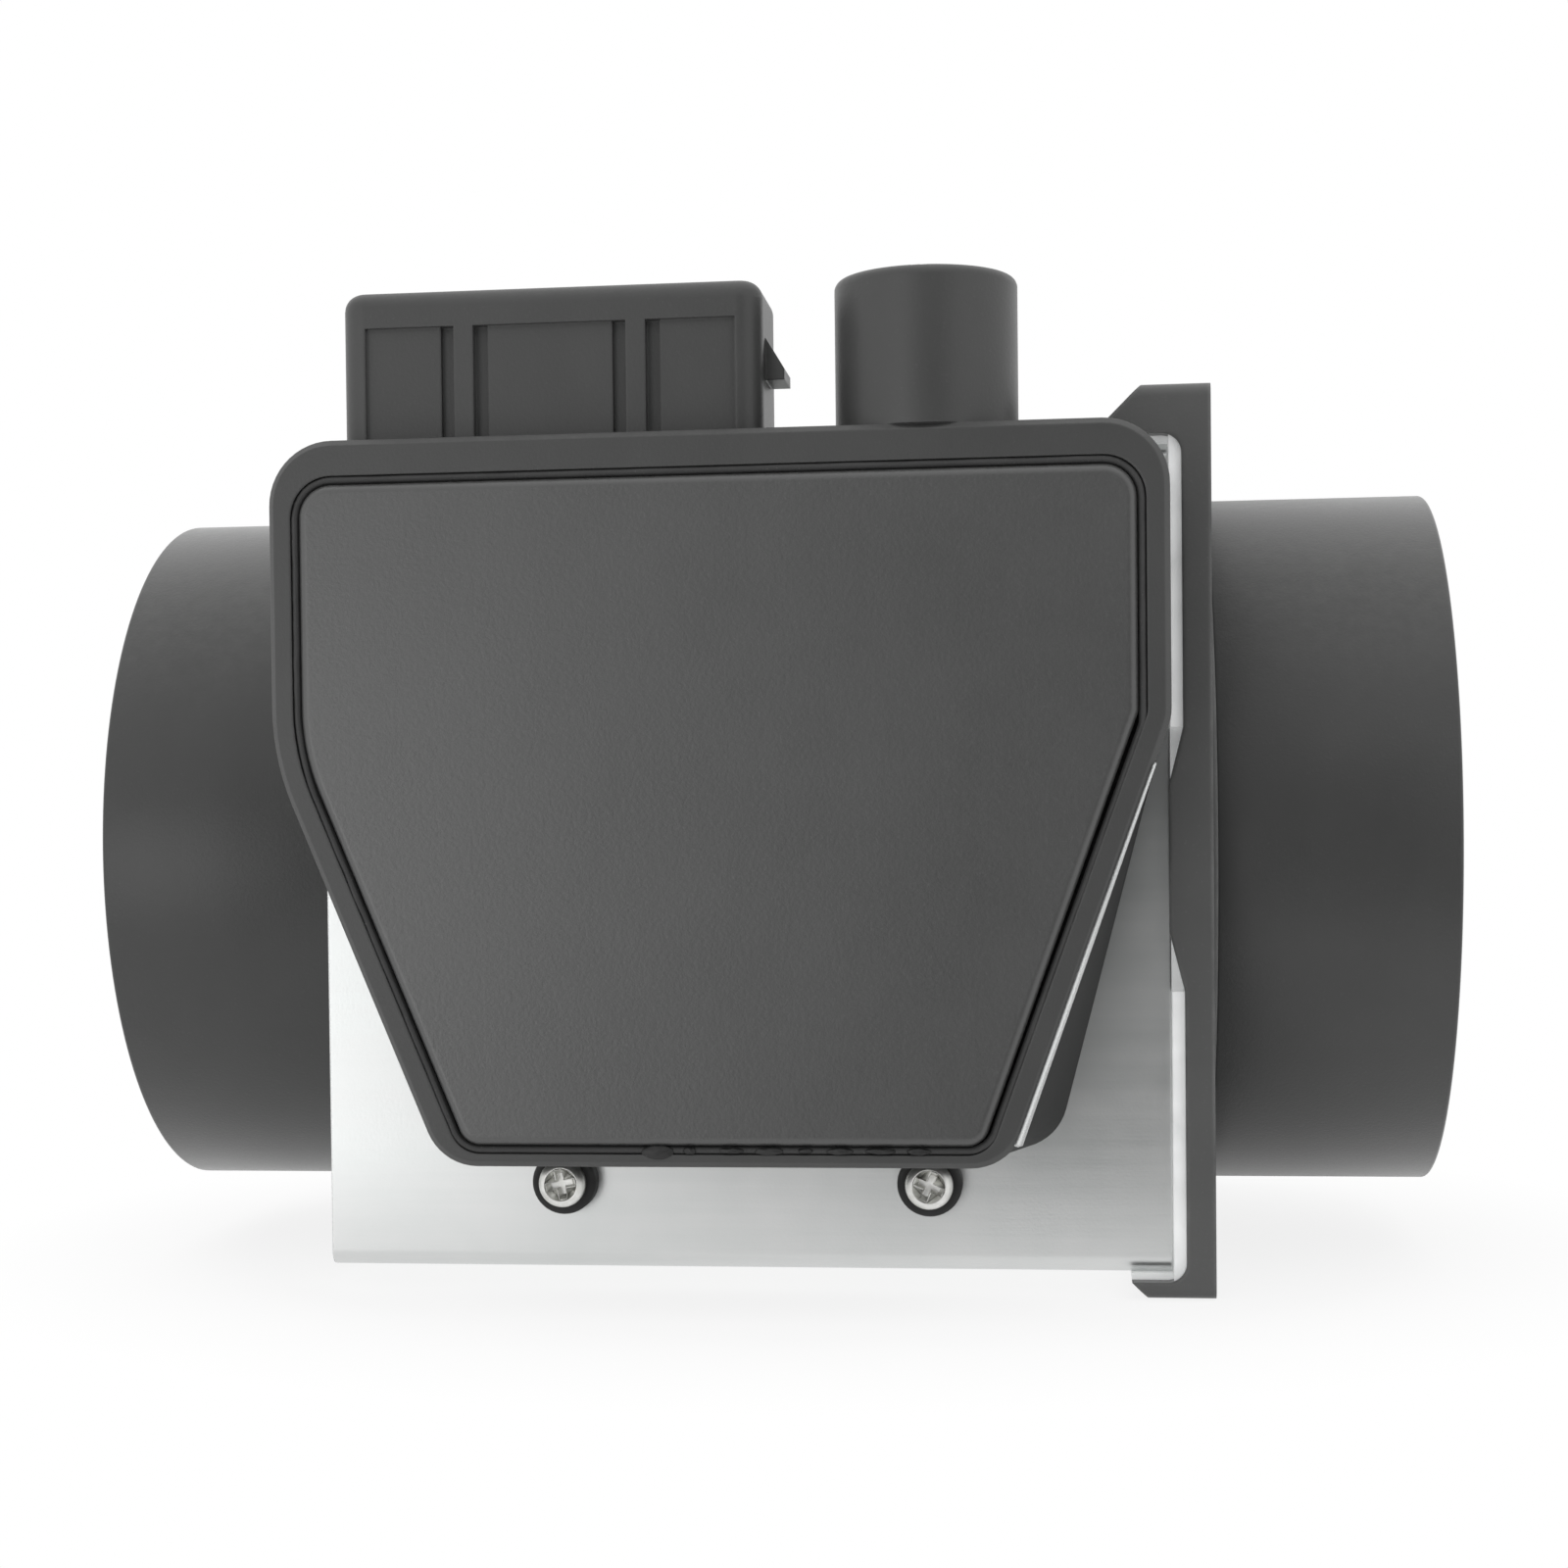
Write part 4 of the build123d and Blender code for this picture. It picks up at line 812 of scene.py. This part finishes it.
# Painted highlight: a strip of bright metal on the box's right chamfer.
bpy.ops.mesh.primitive_cube_add(size=STRIP, location=strip_place, rotation=strip_turn)
highlight_strip = start_editing("highlight_strip")
for end, widths in ((STRIP_TOP, TOP_WIDTHS), (STRIP_FOOT, FOOT_WIDTHS)):
    pick(lambda place: (place - strip_place).dot(end - strip_place) > 0)
    reach = end - strip_place
    bpy.ops.transform.translate(value=reach - reach.normalized() * STRIP / 2)
    bpy.ops.transform.resize(value=(widths, 1, widths), center_override=end, orient_type="GLOBAL")
close_up(highlight_strip, 0.02)
dress(highlight_strip, plate_metal, "plate_aluminium")
print("screen edge", [[round(v / MM, 2) for v in corner] for corner in highlight_strip.bound_box][::6])

# %% [markdown]
# The floor is a wide pale sheet just under the flange's lower edge. Seen by the camera it should be
# as white as the photograph's paper, and still hold the object's soft shadow. Its own lit surface is
# therefore mixed with a plain white glow that only the camera and the reflections see, and the glow
# takes over completely a little way off, where no shadow falls and no horizon should show. The sheet
# ends in front of the object, because all that lies there shows in the aluminium.

# %% Floor
FLOOR_SIZE, FLOOR_FRONT = 8, -0.105
FLOOR_GAP = 0.0001
SHADOW_CENTRE = (-0.07, 0, -0.047)
SHADOW_FROM, SHADOW_TO = 0.07, 0.105
GLOW_SHARE = 0.84
WHITE = (1, 1, 1, 1)


def ray(finish, kind):
    """1 for the rays of one kind and 0 for all others."""
    return finish.node("ShaderNodeLightPath", out=kind)


floor_place = (SHADOW_CENTRE[0], FLOOR_SIZE / 2 + FLOOR_FRONT, cad_box[0][2] - FLOOR_GAP)
fresh()
bpy.ops.mesh.primitive_plane_add(size=FLOOR_SIZE, location=floor_place)
floor = start_editing("floor")
bpy.ops.mesh.subdivide(number_cuts=3)
bpy.ops.object.mode_set(mode="OBJECT")

paper = new_finish("paper")
tone = blend(paper, noise(paper, 0.02, 3), [0.90, 0.90, 0.90, 1], [0.93, 0.93, 0.93, 1])
lit = paper.node("ShaderNodeBsdfDiffuse", sockets={"Color": tone})
glow = paper.node("ShaderNodeEmission", sockets={"Color": WHITE, "Strength": 1.0})
ends = {0: paper.place, 1: SHADOW_CENTRE}
away = paper.node("ShaderNodeVectorMath", {"operation": "DISTANCE"}, ends, out="Value")
seen = ray(paper, "Is Camera Ray").most(ray(paper, "Is Glossy Ray")).most(ray(paper, "Is Transmission Ray"))
share = seen * (GLOW_SHARE + (1 - GLOW_SHARE) * ramp(paper, away, SHADOW_FROM, SHADOW_TO))
sheet = paper.node("ShaderNodeMixShader", sockets={0: share, 1: lit, 2: glow})
paper.node("ShaderNodeOutputMaterial", sockets={"Surface": sheet})
floor.data.materials.append(paper.owner)
print("floor at", round(floor.data.vertices[0].co.z, 4))

# %% [markdown]
# The light is a pale tent with a dark opening to the right of the camera. Polished and satin surfaces
# show what stands round them: the aluminium mirrors the tent at its left and the opening at its right,
# so it falls from white to grey, and the necks are light along their top and bottom and dark between.
# It could be done with many lamps, but their edges would show in the gloss. One lamp overhead makes
# the shadow on the floor, and one at the left lifts the whitest corner of the metal.

# %% Light
CLOTH, GAP = 1.0, 0.08
LEFT_EDGE, RIGHT_EDGE = (-0.28, 0.0), (0.65, 0.35)
FRONT_EDGE, HEIGHT_EDGE = (-0.2, -0.6), (0.55, 0.25)
LIT_CENTRE = (-0.075, -0.03, 0)

bpy.context.scene.world = bpy.data.worlds.new("room")
room = Finish(bpy.context.scene.world)
way = room.node("ShaderNodeTexCoord", out="Generated")
across, depth, height = (part_of(room, way, axis) for axis in "XYZ")
sides = ramp(room, across, *LEFT_EDGE) * ramp(room, across, *RIGHT_EDGE)
opening = sides * ramp(room, depth, *FRONT_EDGE) * ramp(room, abs(height), *HEIGHT_EDGE)
backdrop = ray(room, "Is Camera Ray").most(ray(room, "Is Transmission Ray"))
cloth = room.node("ShaderNodeBackground", sockets={"Color": WHITE, "Strength": CLOTH})
gap = room.node("ShaderNodeBackground", sockets={"Color": WHITE, "Strength": GAP})
tent = room.node("ShaderNodeMixShader", sockets={0: opening * (1 - backdrop), 1: cloth, 2: gap})
room.node("ShaderNodeOutputWorld", sockets={"Surface": tent})


def lamp(name, place, size, watts):
    """A soft rectangular lamp at a place, turned towards the object."""
    bpy.ops.object.light_add(type="AREA", location=place)
    light = bpy.context.object
    light.name = name
    light.data.shape = "RECTANGLE"
    light.data.size, light.data.size_y = size
    light.data.energy = watts
    light.rotation_euler = (Vector(LIT_CENTRE) - Vector(place)).to_track_quat("-Z", "Y").to_euler()


lamp("lamp_left", (-0.382, -0.659, -0.05), (0.25, 0.3), 0.34)
lamp("lamp_over", (-0.07, 0.0, 0.85), (1.3, 1.1), 1.2)
bpy.context.scene.view_settings.view_transform = "Standard"
